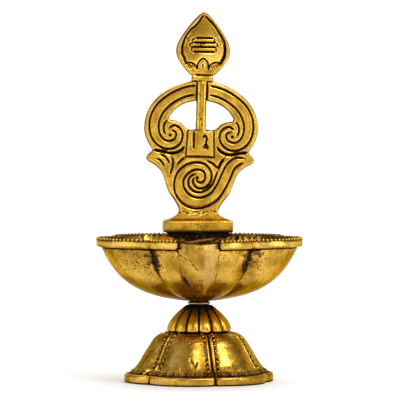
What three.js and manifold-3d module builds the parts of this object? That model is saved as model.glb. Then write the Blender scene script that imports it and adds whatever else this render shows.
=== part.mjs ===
// A cast brass oil lamp. A petalled foot carries a fluted dome and a five-lobed bowl with a
// pouring spout. A post in the bowl carries a scrolled plaque, with a spear let into its face.
// Millimetres, +Z up, the front of the lamp towards -Y.
import * as THREE from 'three';
import { mergeVertices } from 'three/addons/utils/BufferGeometryUtils.js';
import Module from 'manifold-3d';

const wasm = await Module();
wasm.setup();

// Fits
const gap = 0.3; // between two pieces that bear on each other
const boreClearance = 0.35; // all round the tie rod and the rivets

// Tie rod, washer and nut
const rodRadius = 2.4;
const rodIntoPlinth = 5.6;
const rodPastNut = 1.8;
const washerRadius = 8;
const washerThickness = 1.2;
const nutAcrossFlats = 9;
const nutThickness = 4;

// Foot
const footPetals = 6;
const footRadius = 37.7; // at the middle of a petal
const footCreaseRadius = 34.6; // in the crease between two petals
const footBellCrease = 0.865; // of the bell's radius, where the creases run deeper than the band's
const footCreaseRise = 3; // height above the band over which the creases deepen
const footTurn = 14; // bearing of one crease, in degrees from the front towards +X
const footHeight = 24.8;
const footBandHeight = 4.6;
const footBandProud = 2.5;
const footTopRadius = 16;
const footWall = 2.6;

// Fluted dome and neck collar
const domeRibs = 14;
const domeRadius = 16;
const domeTopRadius = 6.3;
const domeHeight = 13.2;
const domeFluteDepth = 0.13; // share of the radius at each height
const domeFootRound = 1.3;
const domeBend = 1.7; // how late the sides turn in towards the top
const collarRadius = 5.7;
const collarHeight = 1.4;

// Bowl
const bowlLobes = 5;
const bowlRadius = 52.5; // over the rim band at the middle of a lobe
const bowlCreaseRadius = 44.5;
const bowlHeight = 31.8;
const bowlTurn = 2; // degrees, the spout towards +X
const bowlWall = 2.6;
const bowlFloor = 3.4;
const bowlBossRadius = 5.8;
const rimBandHeight = 4.2;
const rimBandProud = 2.3;
const rimBandRound = 0.6;
const spoutHalfWidth = 11;
const spoutProud = 3.5;
const spoutLipDrop = 1.2;

// Seal and post
const sealRadius = 9.6;
const sealThickness = 1;
const postHeight = 29;
const postFootRadius = 9;
const postShaftRadius = 4.9;
const postCapitalWidth = 31;
const postCapitalDepth = 12.6;
const postCapitalHeight = 4.2;

// Plinth and plate, one casting
const plinthWidth = 34.4;
const plinthDepth = 14.6;
const plinthHeight = 6.2;
const plinthNeckHeight = 10.9;
const plinthNeckWidth = 19.2;
const plinthFootRound = 0.6;
const plinthTopRound = 1.4;
const plaqueLean = 1.8; // degrees, the top towards +X
const plaqueTurn = 5; // degrees, the face towards +X
const plaqueShift = -0.4; // the casting's middle from the rod, along its face
const plateSpan = 56.8; // across the arch at its widest
const plateRise = 75.5; // from the underside of the plinth to the crown of the arch
const plateThickness = 5;
const grooveWidth = 1.1;
const grooveDepth = 0.8;
const heavyGrooveWidth = 1.6;
const stripHalf = 2.1; // half of the bridge behind the shaft, between the windows

// Spear, let into the face of the plate
const spearThickness = 3.3;
const spearShaftWidth = 5.1;
const spearRecess = 2.5; // depth of its seat in the plate
const spearLength = 34.7; // blade and collar, above the crown
const spearBladeWidth = 26.8;
const spearCollarWidth = 10.6;
const spearCollarHeight = 2.6;
const spearCollarWaist = 0.5;
const spearBorder = 2.4; // width of the rim that the blade's groove leaves
const spearBarHeight = 0.6;
const spearBarThickness = 1.3;
const spearBarSpacing = 2.35;
const spearBarDrop = 14.4; // from the tip to the middle of the upper bar
const blockFootWidth = 14;
const blockTopWidth = 12.6;
const blockHeight = 13.2;
const blockTop = 51; // above the underside of the plinth

// Rivets from behind
const rivetRadius = 1.3;
const rivetHeadRadius = 2.6;
const rivetHeadHeight = 1;
const rivetIntoSpear = 1.6;
const crownRivetDrop = 5; // below the crown

// Fineness of the facets
const sideColumns = 24;
const petalColumns = 10;
const lobeColumns = 12;
const ribColumns = 6;
const finestDetail = 0.01;

// Heights of the stack, each worked out from the piece below it
const domeBase = footHeight + gap;
const collarBase = domeBase + domeHeight + gap;
const bowlBase = collarBase + collarHeight + gap;
const sealBase = bowlBase + bowlFloor + gap;
const postBase = sealBase + sealThickness + gap;
const plinthBase = postBase + postHeight + gap;
const boreRadius = rodRadius + boreClearance;
const washerBase = footHeight - footWall - gap - washerThickness;
const nutBase = washerBase - gap - nutThickness;

const radians = THREE.MathUtils.degToRad;
const blend = THREE.MathUtils.smoothstep;

// Joins closed rings of points into one skin. A loop of rings closes on itself like a tyre,
// otherwise a fan closes each end.
function loft(rings, closesOnItself) {
  const columns = rings[0].length;
  const positions = rings.flat().flatMap((point) => point.toArray());
  const faces = [];
  const spans = closesOnItself ? rings.length : rings.length - 1;
  for (let ring = 0; ring < spans; ring += 1) {
    for (let column = 0; column < columns; column += 1) {
      const next = (column + 1) % columns;
      const above = ((ring + 1) % rings.length) * columns;
      const a = ring * columns + column;
      const b = ring * columns + next;
      faces.push(a, b, above + next, a, above + next, above + column);
    }
  }
  for (let column = 1; column < columns - 1 && !closesOnItself; column += 1) {
    const last = (rings.length - 1) * columns;
    faces.push(0, column + 1, column, last, last + column, last + column + 1);
  }
  const geometry = new THREE.BufferGeometry();
  geometry.setAttribute('position', new THREE.Float32BufferAttribute(positions, 3));
  geometry.setIndex(faces);
  return geometry;
}

// A point at a bearing, measured from the front of the lamp towards +X
function atBearing(bearing, radius, height) {
  return new THREE.Vector3(radius * Math.sin(bearing), -radius * Math.cos(bearing), height);
}

// Radius of a ring of equal round lobes, whose arcs meet in creases
function lobeRadius(bearing, lobes, peak, crease) {
  const half = Math.PI / lobes;
  const turned = bearing / (2 * half);
  const fromMiddle = (turned - Math.round(turned)) * 2 * half;
  const centre = (peak ** 2 - crease ** 2) / (2 * (peak - crease * Math.cos(half)));
  const side = centre * Math.sin(fromMiddle);
  return centre * Math.cos(fromMiddle) + Math.sqrt((peak - centre) ** 2 - side ** 2);
}

// A turned piece with a bore, from the outline of its section on the +X side
function turned(outline, columns = sideColumns) {
  const rings = outline.map(([radius, height]) => {
    const bearings = Array.from({ length: columns }, (_, step) => (2 * Math.PI * step) / columns);
    return bearings.map((bearing) => atBearing(bearing, radius, height));
  });
  return loft(rings, true);
}

function solid(geometry) {
  const bare = new THREE.BufferGeometry();
  bare.setAttribute('position', geometry.getAttribute('position').clone());
  bare.setIndex(geometry.index ? geometry.index.clone() : null);
  const welded = mergeVertices(bare, 1e-5);
  const vertProperties = Float32Array.from(welded.getAttribute('position').array);
  const triVerts = Uint32Array.from(welded.index.array);
  return new wasm.Manifold(new wasm.Mesh({ numProp: 3, vertProperties, triVerts }));
}

// Cuts that cross can leave a crumb loose between them, so only the largest piece stays
function skin(body) {
  const [casting] = body.simplify(finestDetail).decompose().sort((a, b) => b.volume() - a.volume());
  const { numProp, vertProperties, triVerts } = casting.getMesh();
  const positions = [];
  for (let start = 0; start < vertProperties.length; start += numProp) {
    positions.push(...vertProperties.slice(start, start + 3));
  }
  const geometry = new THREE.BufferGeometry();
  geometry.setAttribute('position', new THREE.Float32BufferAttribute(positions, 3));
  geometry.setIndex(Array.from(triVerts));
  return geometry;
}

// Foot: a hollow bell of round petals on a raised band
function footGeometry() {
  const bellRadius = footRadius - footBandProud;
  const bellShares = [[0, 0], [0.2, 0.2], [0.37, 0.46], [0.5, 0.66], [0.64, 0.85], [0.79, 0.96], [1, 1]];
  const bell = new THREE.SplineCurve(bellShares.map(([inward, upward]) => new THREE.Vector2(
    THREE.MathUtils.lerp(bellRadius, footTopRadius, inward),
    THREE.MathUtils.lerp(footBandHeight, footHeight, upward),
  )));
  const outside = bell.getPoints(9);
  const inside = bell.getPoints(6).map((point, step) => {
    const direction = bell.getTangent(step / 6);
    return new THREE.Vector2(point.x - footWall * direction.y, point.y + footWall * direction.x);
  });
  const bandInside = bellRadius - footWall;
  const innerBand = new THREE.Vector2(bandInside, Math.min(footBandHeight, inside[0].y));
  const section = [
    new THREE.Vector2(bandInside, 0),
    new THREE.Vector2(footRadius - 0.4, 0),
    new THREE.Vector2(footRadius, 0.5),
    new THREE.Vector2(footRadius, footBandHeight - 0.9),
    new THREE.Vector2(footRadius - 0.8, footBandHeight - 0.1),
    ...outside,
    new THREE.Vector2(boreRadius, footHeight),
    new THREE.Vector2(boreRadius, footHeight - footWall),
    ...inside.slice(1).reverse(),
    innerBand,
  ];
  const columns = footPetals * petalColumns;
  const rings = section.map((point) => Array.from({ length: columns }, (_, step) => {
    const bearing = (2 * Math.PI * step) / columns;
    const onBell = blend(point.y, footBandHeight - 0.1, footBandHeight + footCreaseRise);
    const crease = THREE.MathUtils.lerp(footCreaseRadius / footRadius, footBellCrease, onBell);
    const petal = lobeRadius(bearing + Math.PI / footPetals, footPetals, 1, crease);
    const lobing = blend(point.x, 0.5 * footTopRadius, footTopRadius);
    const radius = point.x * THREE.MathUtils.lerp(1, petal, lobing);
    return atBearing(bearing + radians(footTurn), radius, point.y);
  }));
  return loft(rings, true);
}

// Dome: round ribs that narrow towards the top, with sharp flutes between them
function domeGeometry() {
  const steps = 7;
  const sides = [[domeRadius - domeFootRound, 0], [domeRadius, domeFootRound]];
  for (let step = 1; step <= steps; step += 1) {
    const share = step / steps;
    const inward = (domeRadius - domeTopRadius) * share ** domeBend;
    sides.push([domeRadius - inward, THREE.MathUtils.lerp(domeFootRound, domeHeight, share)]);
  }
  const section = [[boreRadius, 0], ...sides, [boreRadius, domeHeight]];
  const columns = domeRibs * ribColumns;
  const rings = section.map(([radius, height]) => Array.from({ length: columns }, (_, step) => {
    const bearing = (2 * Math.PI * step) / columns;
    const flute = 1 - Math.abs(Math.sin((bearing * domeRibs) / 2));
    const depth = radius > boreRadius ? domeFluteDepth * radius * flute : 0;
    return atBearing(bearing, radius - depth, height);
  }));
  return loft(rings, true);
}

// Bowl: five round lobes under a raised rim band, which the V-shaped spout interrupts
function bowlGeometry() {
  const wallRadius = bowlRadius - rimBandProud;
  const wallHeight = bowlHeight - rimBandHeight;
  const spoutAngle = Math.asin(spoutHalfWidth / wallRadius);
  const reach = wallRadius - bowlBossRadius;
  const wall = new THREE.CubicBezierCurve(
    new THREE.Vector2(bowlBossRadius, 0.1),
    new THREE.Vector2(bowlBossRadius + 0.61 * reach, 0.09 * wallHeight),
    new THREE.Vector2(bowlBossRadius + 0.84 * reach, 0.42 * wallHeight),
    new THREE.Vector2(wallRadius, wallHeight),
  );
  const outsideShares = [0, 0.06, 0.14, 0.23, 0.33, 0.43, 0.54, 0.65, 0.76, 0.88, 1];
  const insideShares = [0.98, 0.86, 0.74, 0.62, 0.5, 0.38, 0.28, 0.19];

  const round = rimBandRound;
  const bandRings = [[rimBandProud - round, 0.1], [rimBandProud, round]];
  bandRings.push([rimBandProud, rimBandHeight - round], [rimBandProud - round, rimBandHeight]);

  // Bearings, with a close pair at each end of the band where the spout breaks it
  const step = (2 * Math.PI) / bowlLobes / lobeColumns;
  const spoutBearings = [0, spoutAngle / 2, spoutAngle - 0.008, spoutAngle + 0.008];
  const sideBearings = [];
  for (let bearing = 3 * step; bearing < Math.PI - step / 2; bearing += step) {
    sideBearings.push(bearing);
  }
  const right = [...spoutBearings, ...sideBearings.filter((bearing) => bearing > spoutAngle + 0.02)];
  const left = [...right].reverse().slice(0, -1).map((bearing) => -bearing);
  const bearings = [...right, Math.PI, ...left];

  const prow = (bearing) => Math.max(0, 1 - Math.abs(bearing) / spoutAngle);
  const inSpout = (bearing) => Math.abs(bearing) < spoutAngle;
  const place = (bearing, radius, height) => {
    const lobe = lobeRadius(bearing, bowlLobes, bowlRadius, bowlCreaseRadius) / bowlRadius;
    const lobing = blend(radius, bowlBossRadius, bowlBossRadius + 11);
    const keel = spoutProud * prow(bearing) * blend(radius, bowlBossRadius, 0.6 * wallRadius);
    return atBearing(bearing, radius * THREE.MathUtils.lerp(1, lobe, lobing) + keel, height);
  };

  const rings = [bearings.map((bearing) => atBearing(bearing, boreRadius, 0))];
  for (const share of outsideShares) {
    const point = wall.getPoint(share);
    rings.push(bearings.map((bearing) => place(bearing, point.x, point.y)));
  }
  const lipHeight = bowlHeight - spoutLipDrop;
  for (const [proud, rise] of bandRings) {
    const lipRise = (rise / rimBandHeight) * (lipHeight - wallHeight);
    rings.push(bearings.map((bearing) => (inSpout(bearing)
      ? place(bearing, wallRadius, wallHeight + lipRise)
      : place(bearing, wallRadius + proud, wallHeight + rise))));
  }
  const edgeRadius = wallRadius - bowlWall;
  rings.push(bearings.map((bearing) => (
    place(bearing, edgeRadius, inSpout(bearing) ? lipHeight : bowlHeight))));
  for (const share of insideShares) {
    const point = wall.getPoint(share);
    const direction = wall.getTangent(share);
    const height = Math.max(bowlFloor, point.y + bowlWall * direction.x);
    rings.push(bearings.map((bearing) => place(bearing, point.x - bowlWall * direction.y, height)));
  }
  rings.push(bearings.map((bearing) => atBearing(bearing, sealRadius + 1, bowlFloor)));
  rings.push(bearings.map((bearing) => atBearing(bearing, boreRadius, bowlFloor)));
  return loft(rings, true);
}

// Post: a turned foot and shaft that spread into an oblong capital
function postGeometry() {
  const capitalBase = postHeight - postCapitalHeight;
  const collarMiddle = 0.4 * capitalBase;
  const across = postCapitalWidth / 2;
  const deep = postCapitalDepth / 2;
  const shaft = postShaftRadius;
  const section = [
    [boreRadius, boreRadius, 0, 2],
    [postFootRadius, postFootRadius, 0, 2],
    [postFootRadius, postFootRadius, 1.6, 2],
    [0.7 * postFootRadius, 0.7 * postFootRadius, 2.6, 2],
    [shaft, shaft, 5, 2],
    [shaft, shaft, collarMiddle - 1.6, 2],
    [shaft + 1.3, shaft + 1.3, collarMiddle, 2],
    [shaft, shaft, collarMiddle + 1.6, 2],
    [shaft, shaft, 0.66 * capitalBase, 2],
    [0.5 * across, 0.9 * deep, 0.86 * capitalBase, 3],
    [0.85 * across, deep, 0.98 * capitalBase, 5],
    [across, deep, capitalBase + 1.2, 8],
    [across, deep, postHeight, 8],
    [boreRadius, boreRadius, postHeight, 2],
  ];
  const columns = 32;
  const rings = section.map(([halfWidth, halfDepth, height, squareness]) => {
    const power = 2 / squareness;
    return Array.from({ length: columns }, (_, step) => {
      const bearing = (2 * Math.PI * step) / columns;
      const sine = Math.sin(bearing);
      const cosine = Math.cos(bearing);
      const x = halfWidth * Math.sign(sine) * Math.abs(sine) ** power;
      const y = -halfDepth * Math.sign(cosine) * Math.abs(cosine) ** power;
      return new THREE.Vector3(x, y, height);
    });
  });
  return loft(rings, true);
}

// The plaque is drawn in its own plane: u to the right, v up from the underside of the
// plinth, w out of the face. Its ornament was drawn for an arch 56.8 wide and 75 high.
const drawnSpan = 56.8;
const drawnRise = 75;
const drawn = ([u, v]) => new THREE.Vector2((u * plateSpan) / drawnSpan, (v * plateRise) / drawnRise);
const mirrored = (points) => points.map(([u, v]) => [-u, v]);
const faceFront = plateThickness / 2;
const seatDepth = faceFront - spearRecess;

function smooth(points, spacing) {
  const through = points.map((point) => {
    const { x, y } = drawn(point);
    return new THREE.Vector3(x, y, 0);
  });
  const curve = new THREE.CatmullRomCurve3(through, false, 'centripetal');
  return curve.getSpacedPoints(Math.max(2, Math.round(curve.getLength() / spacing)));
}

const flat = (points) => points.map(({ x, y }) => new THREE.Vector2(x, y));

// Half of the outline, from the neck up the right side: leaf, notch and arch
const leafEdge = [
  [9.8, 6], [9.8, 10.9], [11.7, 14.8], [15.2, 19.7], [17.1, 24.7], [19, 29.4], [22.6, 32.8], [26.3, 35],
];
const leafTop = [[26.9, 36.3], [25.8, 37.9], [24.2, 40.3]];
const archEdge = [
  [24.4, 40.9], [26.8, 45], [28.2, 49], [28.2, 54.5], [26.2, 61], [22, 66.6], [16.6, 70.6], [11, 73.3],
  [3, 75],
];
const windowTop = [[2.2, 65.5], [8.8, 63.7], [13.3, 60.7], [16.3, 56.8]];
const windowBottom = [[16, 55.5], [12.8, 55], [10.1, 53.9], [7.8, 51.7], [5.5, 50.8], [2.2, 51.2]];

// Grooves of one volute of the arch, drawn on the right
const outerVolute = [
  [3.4, 72.9], [9.8, 71.4], [16.8, 67.9], [22.3, 63.1], [25.4, 57.2], [25.9, 50.3], [23.8, 45], [19.3, 41.5],
  [14.6, 41.1], [10.7, 43.6], [9.2, 47.5], [10.6, 51.3], [14, 52.7], [16.6, 51],
];
const innerVolute = [
  [3.6, 68.3], [9, 66.9], [15, 63.5], [19.6, 58.5], [21.4, 52.8], [20.4, 47.7], [16.9, 44.9],
  [13.4, 46], [12.6, 49], [15.2, 50.5],
];
const voluteShade = [[16.9, 55.5], [18.6, 53.2], [18.8, 50.2], [17.6, 48]];
const underVolute = [[23.6, 40.2], [19.5, 39.8], [14.2, 38.9], [10.3, 40.2], [8, 42.6]];

// Grooves of the triple spiral below the block
const spiralStem = [
  [-2.1, 26], [0.2, 24.6], [2.4, 26.2], [2.1, 29.8], [-1.5, 31.1], [-5.4, 29.6], [-8, 26], [-7.7, 21.9],
  [-4.4, 18.2], [0.6, 17.2], [5.6, 19.5], [8.7, 24], [11.3, 30.1], [13.9, 34.8], [17.6, 37.4], [21.6, 37.4],
];
const spiralSweep = [
  [-2.9, 27.6], [-3.4, 24.7], [-1, 21.9], [2.7, 22.3], [5.6, 25.9], [5.4, 30.4], [2.4, 33.7], [-2.1, 34.7],
  [-7.3, 33.2], [-11.2, 29.4], [-12.7, 24.2], [-11.9, 18.9], [-8, 14], [-2.2, 11.8], [3.7, 12.9], [9.2, 16.5],
  [12.5, 21.4], [15.1, 26.9], [17.5, 32.4], [21.4, 35.3],
];
const spiralShort = [
  [-2.2, 29], [-5.1, 27.2], [-5.4, 22.9], [-2.2, 20.1], [2.3, 20.5], [6.2, 23.9], [8.9, 30.9],
];
const spiralHood = [[-11.8, 32.9], [-9.4, 35.8], [-7.6, 37]];
const spiralBrow = [[3.1, 35.8], [6.7, 33.9], [9, 31.7]];
const tailFork = [[9.2, 31.2], [10.2, 34.6], [12.1, 37.2]];
const leafVeins = [
  [[-13.9, 38], [-13.1, 34.6], [-14.7, 27.9]],
  [[-19.4, 37.5], [-16.9, 36], [-15, 32.8]],
  [[-21.4, 35.5], [-17.6, 31.8]],
];

// Petals at the foot of the blade, above its collar, and the widths of the bars across it
const sidePetal = [[9.2, 6], [7, 6.6], [5, 5.4], [3.2, 3]];
const middlePetal = [[-2.6, 3], [-2.3, 5.4], [-1.4, 7.2], [0, 8], [1.4, 7.2], [2.3, 5.4], [2.6, 3]];
const barWidths = [9.6, 12.9, 10.8];

// A V-shaped cutter along a drawn curve, pointed at both ends
function groove(points, width, surface, stretched = true) {
  const path = stretched ? smooth(points, 2) : points.map(([x, y]) => new THREE.Vector3(x, y, 0));
  const lift = 0.4;
  const rings = path.map((point, step) => {
    const before = path[Math.max(0, step - 1)];
    const after = path[Math.min(path.length - 1, step + 1)];
    const along = after.clone().sub(before).normalize();
    const atEnd = step === 0 || step === path.length - 1;
    const share = atEnd ? 0.4 : 1;
    const reach = (share * width * (grooveDepth + lift)) / (2 * grooveDepth);
    const aside = new THREE.Vector3(-along.y, along.x, 0).multiplyScalar(reach);
    return [
      point.clone().sub(aside).setZ(surface + lift),
      point.clone().setZ(surface - share * grooveDepth),
      point.clone().add(aside).setZ(surface + lift),
    ];
  });
  return solid(loft(rings, false));
}

// A straight-sided block in the plaque's own plane
function box(left, right, bottom, top, back, front) {
  const shape = new THREE.BoxGeometry(right - left, top - bottom, front - back);
  shape.translate((left + right) / 2, (bottom + top) / 2, (back + front) / 2);
  return solid(shape);
}

// A pin along w in the plaque's own plane
function pin(u, v, back, front, radius) {
  const shape = new THREE.CylinderGeometry(radius, radius, front - back, 16);
  shape.rotateX(Math.PI / 2);
  shape.translate(u, v, (back + front) / 2);
  return solid(shape);
}

// The seat of the block, which widens towards its foot as the block does
function blockSeatCut(back, front) {
  const foot = blockFootWidth / 2 + gap;
  const top = blockTopWidth / 2 + gap;
  const bottom = blockTop - blockHeight - gap;
  const shape = new THREE.Shape([[-foot, bottom], [foot, bottom], [top, blockTop + 1], [-top, blockTop + 1]]
    .map(([u, v]) => new THREE.Vector2(u, v)));
  const seat = new THREE.ExtrudeGeometry(shape, { depth: front - back, bevelEnabled: false });
  return solid(seat.translate(0, 0, back));
}

const shaftSeat = spearShaftWidth / 2 + gap;
const crownRivet = plateRise - crownRivetDrop;
const blockRivet = blockTop - blockHeight / 2;
const rivetPlaces = [['crown_rivet', crownRivet], ['block_rivet', blockRivet]];

function plateBody() {
  const side = [...smooth(leafEdge, 2.6), ...smooth(leafTop, 1.6), ...smooth(archEdge, 2.4)];
  const otherSide = [...side].reverse().map(({ x, y }) => new THREE.Vector3(-x, y, 0));
  const outline = new THREE.Shape(flat([...side, ...otherSide]));
  for (const hand of [1, -1]) {
    const edge = [...smooth(windowTop, 2), ...smooth(windowBottom, 1.8)];
    const window = edge.map(({ x, y }) => new THREE.Vector2(hand * Math.max(x, stripHalf), y));
    outline.holes.push(new THREE.Path(window));
  }
  const round = 0.5;
  const plate = new THREE.ExtrudeGeometry(outline, {
    depth: plateThickness - 2 * round,
    bevelEnabled: true,
    bevelThickness: round,
    bevelSize: round,
    bevelOffset: -round,
    bevelSegments: 1,
  });
  plate.translate(0, 0, round - plateThickness / 2);
  let body = solid(plate);

  const cuts = [];
  for (const points of [outerVolute, innerVolute, voluteShade]) {
    cuts.push(groove(points, grooveWidth, faceFront), groove(mirrored(points), grooveWidth, faceFront));
  }
  cuts.push(groove(underVolute, heavyGrooveWidth, faceFront));
  cuts.push(groove(mirrored(underVolute), heavyGrooveWidth, faceFront));
  for (const points of [spiralStem, spiralSweep, spiralShort, spiralHood, spiralBrow, ...leafVeins]) {
    cuts.push(groove(points, grooveWidth, faceFront));
  }
  cuts.push(groove(tailFork, heavyGrooveWidth, faceFront));
  const open = faceFront + 1;
  cuts.push(box(-shaftSeat, shaftSeat, blockTop - 1, plateRise + 1, seatDepth, open));
  cuts.push(blockSeatCut(seatDepth, open));
  for (const [, height] of rivetPlaces) {
    cuts.push(pin(0, height, -plateThickness, plateThickness, rivetRadius + boreClearance));
  }
  for (const cut of cuts) {
    body = body.subtract(cut);
  }
  return body.rotate([0, 0, -plaqueLean]);
}

// Plinth: an oblong block with a hollow slope up to the neck of the plate
function plinthBody() {
  const round = plinthFootRound;
  const slope = plinthNeckHeight - plinthHeight;
  const halfWidth = plinthWidth / 2;
  const halfDepth = plinthDepth / 2;
  const neckWidth = plinthNeckWidth / 2;
  const neckDepth = plateThickness / 2 + 0.2;
  const levels = [
    [halfWidth - round, halfDepth - round, 0],
    [halfWidth, halfDepth, round],
    [halfWidth, halfDepth, plinthHeight - plinthTopRound],
    [halfWidth - 0.3 * plinthTopRound, halfDepth - 0.3 * plinthTopRound, plinthHeight - 0.3 * plinthTopRound],
    [halfWidth - plinthTopRound, halfDepth - plinthTopRound, plinthHeight],
    [THREE.MathUtils.lerp(halfWidth, neckWidth, 0.45), 0.62 * halfDepth, plinthHeight + 0.2 * slope],
    [THREE.MathUtils.lerp(halfWidth, neckWidth, 0.84), 0.46 * halfDepth, plinthHeight + 0.5 * slope],
    [neckWidth, neckDepth, plinthNeckHeight],
  ];
  const rings = levels.map(([across, deep, height]) => {
    const chamfer = Math.min(1.2, 0.4 * deep);
    const corner = [[across, deep - chamfer], [across - chamfer, deep]];
    const back = corner.map(([u, w]) => [u, -w]).reverse();
    const right = [...back, ...corner];
    const left = [...right].reverse().map(([u, w]) => [-u, w]);
    return [...right, ...left].reverse().map(([u, w]) => new THREE.Vector3(u, height, w));
  });
  return solid(loft(rings, false));
}

function plaqueGeometry() {
  const rodHole = new THREE.CylinderGeometry(boreRadius, boreRadius, 2 * (rodIntoPlinth + gap), sideColumns);
  rodHole.translate(-plaqueShift, 0, 0);
  return skin(plateBody().add(plinthBody()).subtract(solid(rodHole)));
}

// Spear: leaf-shaped blade with a grooved border, collar, shaft and square block, one casting
function spearGeometry() {
  const bladeBase = plateRise + gap + spearCollarHeight;
  const bladeTop = plateRise + spearLength;
  const bladeShares = [
    [0.45, 0], [0.57, 0.05], [0.75, 0.14], [0.9, 0.23], [0.985, 0.32], [1, 0.41], [0.93, 0.51],
    [0.79, 0.62], [0.6, 0.74], [0.36, 0.87], [0.12, 0.97], [0, 1],
  ];
  const half = bladeShares.map(([across, upward]) => new THREE.Vector2(
    (across * spearBladeWidth) / 2,
    THREE.MathUtils.lerp(bladeBase, bladeTop, upward),
  ));
  const curve = new THREE.SplineCurve(half).getPoints(20);
  const shaft = spearShaftWidth / 2;
  const collar = spearCollarWidth / 2;
  const collarBottom = plateRise + gap;
  const waist = collar - spearCollarWaist;
  const side = [
    new THREE.Vector2(blockFootWidth / 2, blockTop - blockHeight),
    new THREE.Vector2(blockTopWidth / 2, blockTop),
    new THREE.Vector2(shaft, blockTop),
    new THREE.Vector2(shaft, collarBottom),
    new THREE.Vector2(collar, collarBottom),
    new THREE.Vector2(waist, collarBottom + 0.35 * spearCollarHeight),
    new THREE.Vector2(waist, collarBottom + 0.65 * spearCollarHeight),
    new THREE.Vector2(collar, bladeBase - gap),
    ...curve,
  ];
  const otherSide = [...side].reverse().slice(1).map(({ x, y }) => new THREE.Vector2(-x, y));
  const back = seatDepth + gap;
  const front = back + spearThickness;
  const blank = new THREE.ExtrudeGeometry(new THREE.Shape([...side, ...otherSide]), {
    depth: spearThickness,
    bevelEnabled: false,
  });
  blank.translate(0, 0, back);
  let body = solid(blank);

  // Groove inside the border, a steady distance in from the edge
  const inset = curve.slice(3, -1).map((point, step) => {
    const along = curve[step + 4].clone().sub(curve[step + 2]).normalize();
    return [point.x - spearBorder * along.y, point.y + spearBorder * along.x];
  }).filter(([u]) => u > 0.3);
  const peak = [0, inset.at(-1)[1] + 1.2];
  const line = [...inset, peak, ...mirrored(inset).reverse()];
  body = body.subtract(groove(line, grooveWidth, front, false));

  // Grooves round the three petals that hold the foot of the blade
  for (const points of [sidePetal, mirrored(sidePetal), middlePetal]) {
    const raised = points.map(([u, v]) => [u, v + bladeBase]);
    body = body.subtract(groove(raised, grooveWidth, front, false));
  }

  // Three raised bars across the blade
  barWidths.forEach((width, place) => {
    const middle = bladeTop - spearBarDrop - spearBarSpacing * place;
    const [low, high] = [middle - spearBarThickness / 2, middle + spearBarThickness / 2];
    body = body.add(box(-width / 2, width / 2, low, high, front - 1, front + spearBarHeight));
  });

  // Slot and keyhole in the block, and the blind holes for the rivets
  const blockMiddle = blockTop - blockHeight / 2;
  const deep = front - 1.2;
  body = body.subtract(box(-3.9, -3, blockMiddle - 3, blockTop - 0.8, deep, front + 1));
  body = body.subtract(pin(2.6, blockMiddle + 2.4, deep, front + 1, 1));
  body = body.subtract(pin(3, blockMiddle - 1.6, deep, front + 1, 1.2));
  body = body.subtract(box(2.4, 3.1, blockMiddle - 1.6, blockMiddle + 2.4, deep, front + 1));
  for (const [, height] of rivetPlaces) {
    const depth = rivetIntoSpear + gap;
    body = body.subtract(pin(0, height, back - 1, back + depth, rivetRadius + boreClearance));
  }
  return skin(body);
}

function rivetGeometry() {
  const back = -faceFront - gap;
  const shankEnd = seatDepth + gap + rivetIntoSpear;
  const profile = [
    [0, back - rivetHeadHeight],
    [0.7 * rivetHeadRadius, back - rivetHeadHeight],
    [rivetHeadRadius, back - 0.4 * rivetHeadHeight],
    [rivetHeadRadius, back],
    [rivetRadius, back],
    [rivetRadius, shankEnd],
    [0, shankEnd],
  ].map(([radius, along]) => new THREE.Vector2(radius, along));
  return new THREE.LatheGeometry(profile, 16).rotateX(Math.PI / 2);
}

function nutGeometry() {
  const corner = nutAcrossFlats / 2 / Math.cos(Math.PI / 6);
  const corners = Array.from({ length: 6 }, (_, step) => {
    const angle = (Math.PI / 3) * step;
    return new THREE.Vector2(corner * Math.cos(angle), corner * Math.sin(angle));
  });
  const outline = new THREE.Shape(corners);
  outline.holes.push(new THREE.Path().absarc(0, 0, boreRadius, 0, 2 * Math.PI, true));
  const options = { depth: nutThickness, bevelEnabled: false, curveSegments: sideColumns / 2 };
  return new THREE.ExtrudeGeometry(outline, options);
}

function washer(radius, thickness) {
  return turned([[boreRadius, 0], [radius, 0], [radius, thickness], [boreRadius, thickness]]);
}

function collarGeometry() {
  const inset = 0.35 * collarHeight;
  return turned([
    [boreRadius, 0],
    [collarRadius - inset, 0],
    [collarRadius, inset],
    [collarRadius, collarHeight - inset],
    [collarRadius - inset, collarHeight],
    [boreRadius, collarHeight],
  ], 32);
}

function rodGeometry() {
  const bottom = nutBase - rodPastNut;
  const length = plinthBase + rodIntoPlinth - bottom;
  const rod = new THREE.CylinderGeometry(rodRadius, rodRadius, length, sideColumns);
  return rod.rotateX(Math.PI / 2).translate(0, 0, bottom + length / 2);
}

const brass = new THREE.MeshStandardMaterial({ color: 0xc8922b, roughness: 0.34, metalness: 1 });
const agedBrass = new THREE.MeshStandardMaterial({ color: 0x8f6a22, roughness: 0.5, metalness: 1 });
const steel = new THREE.MeshStandardMaterial({ color: 0x8d9094, roughness: 0.4, metalness: 1 });
const fibre = new THREE.MeshStandardMaterial({ color: 0x3b2f28, roughness: 0.9, metalness: 0 });

function piece(name, geometry, material, height = 0) {
  geometry.computeVertexNormals();
  const mesh = new THREE.Mesh(geometry, material);
  mesh.name = name;
  mesh.position.z = height;
  return mesh;
}

const stack = new THREE.Group();
stack.add(
  piece('foot', footGeometry(), brass),
  piece('foot_washer', washer(washerRadius, washerThickness), steel, washerBase),
  piece('foot_nut', nutGeometry(), steel, nutBase),
  piece('tie_rod', rodGeometry(), steel),
  piece('fluted_dome', domeGeometry(), agedBrass, domeBase),
  piece('neck_collar', collarGeometry(), brass, collarBase),
  piece('bowl_seal', washer(sealRadius, sealThickness), fibre, sealBase),
);

const bowl = piece('bowl', bowlGeometry(), brass, bowlBase);
bowl.rotation.z = radians(bowlTurn);
stack.add(bowl);

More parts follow.
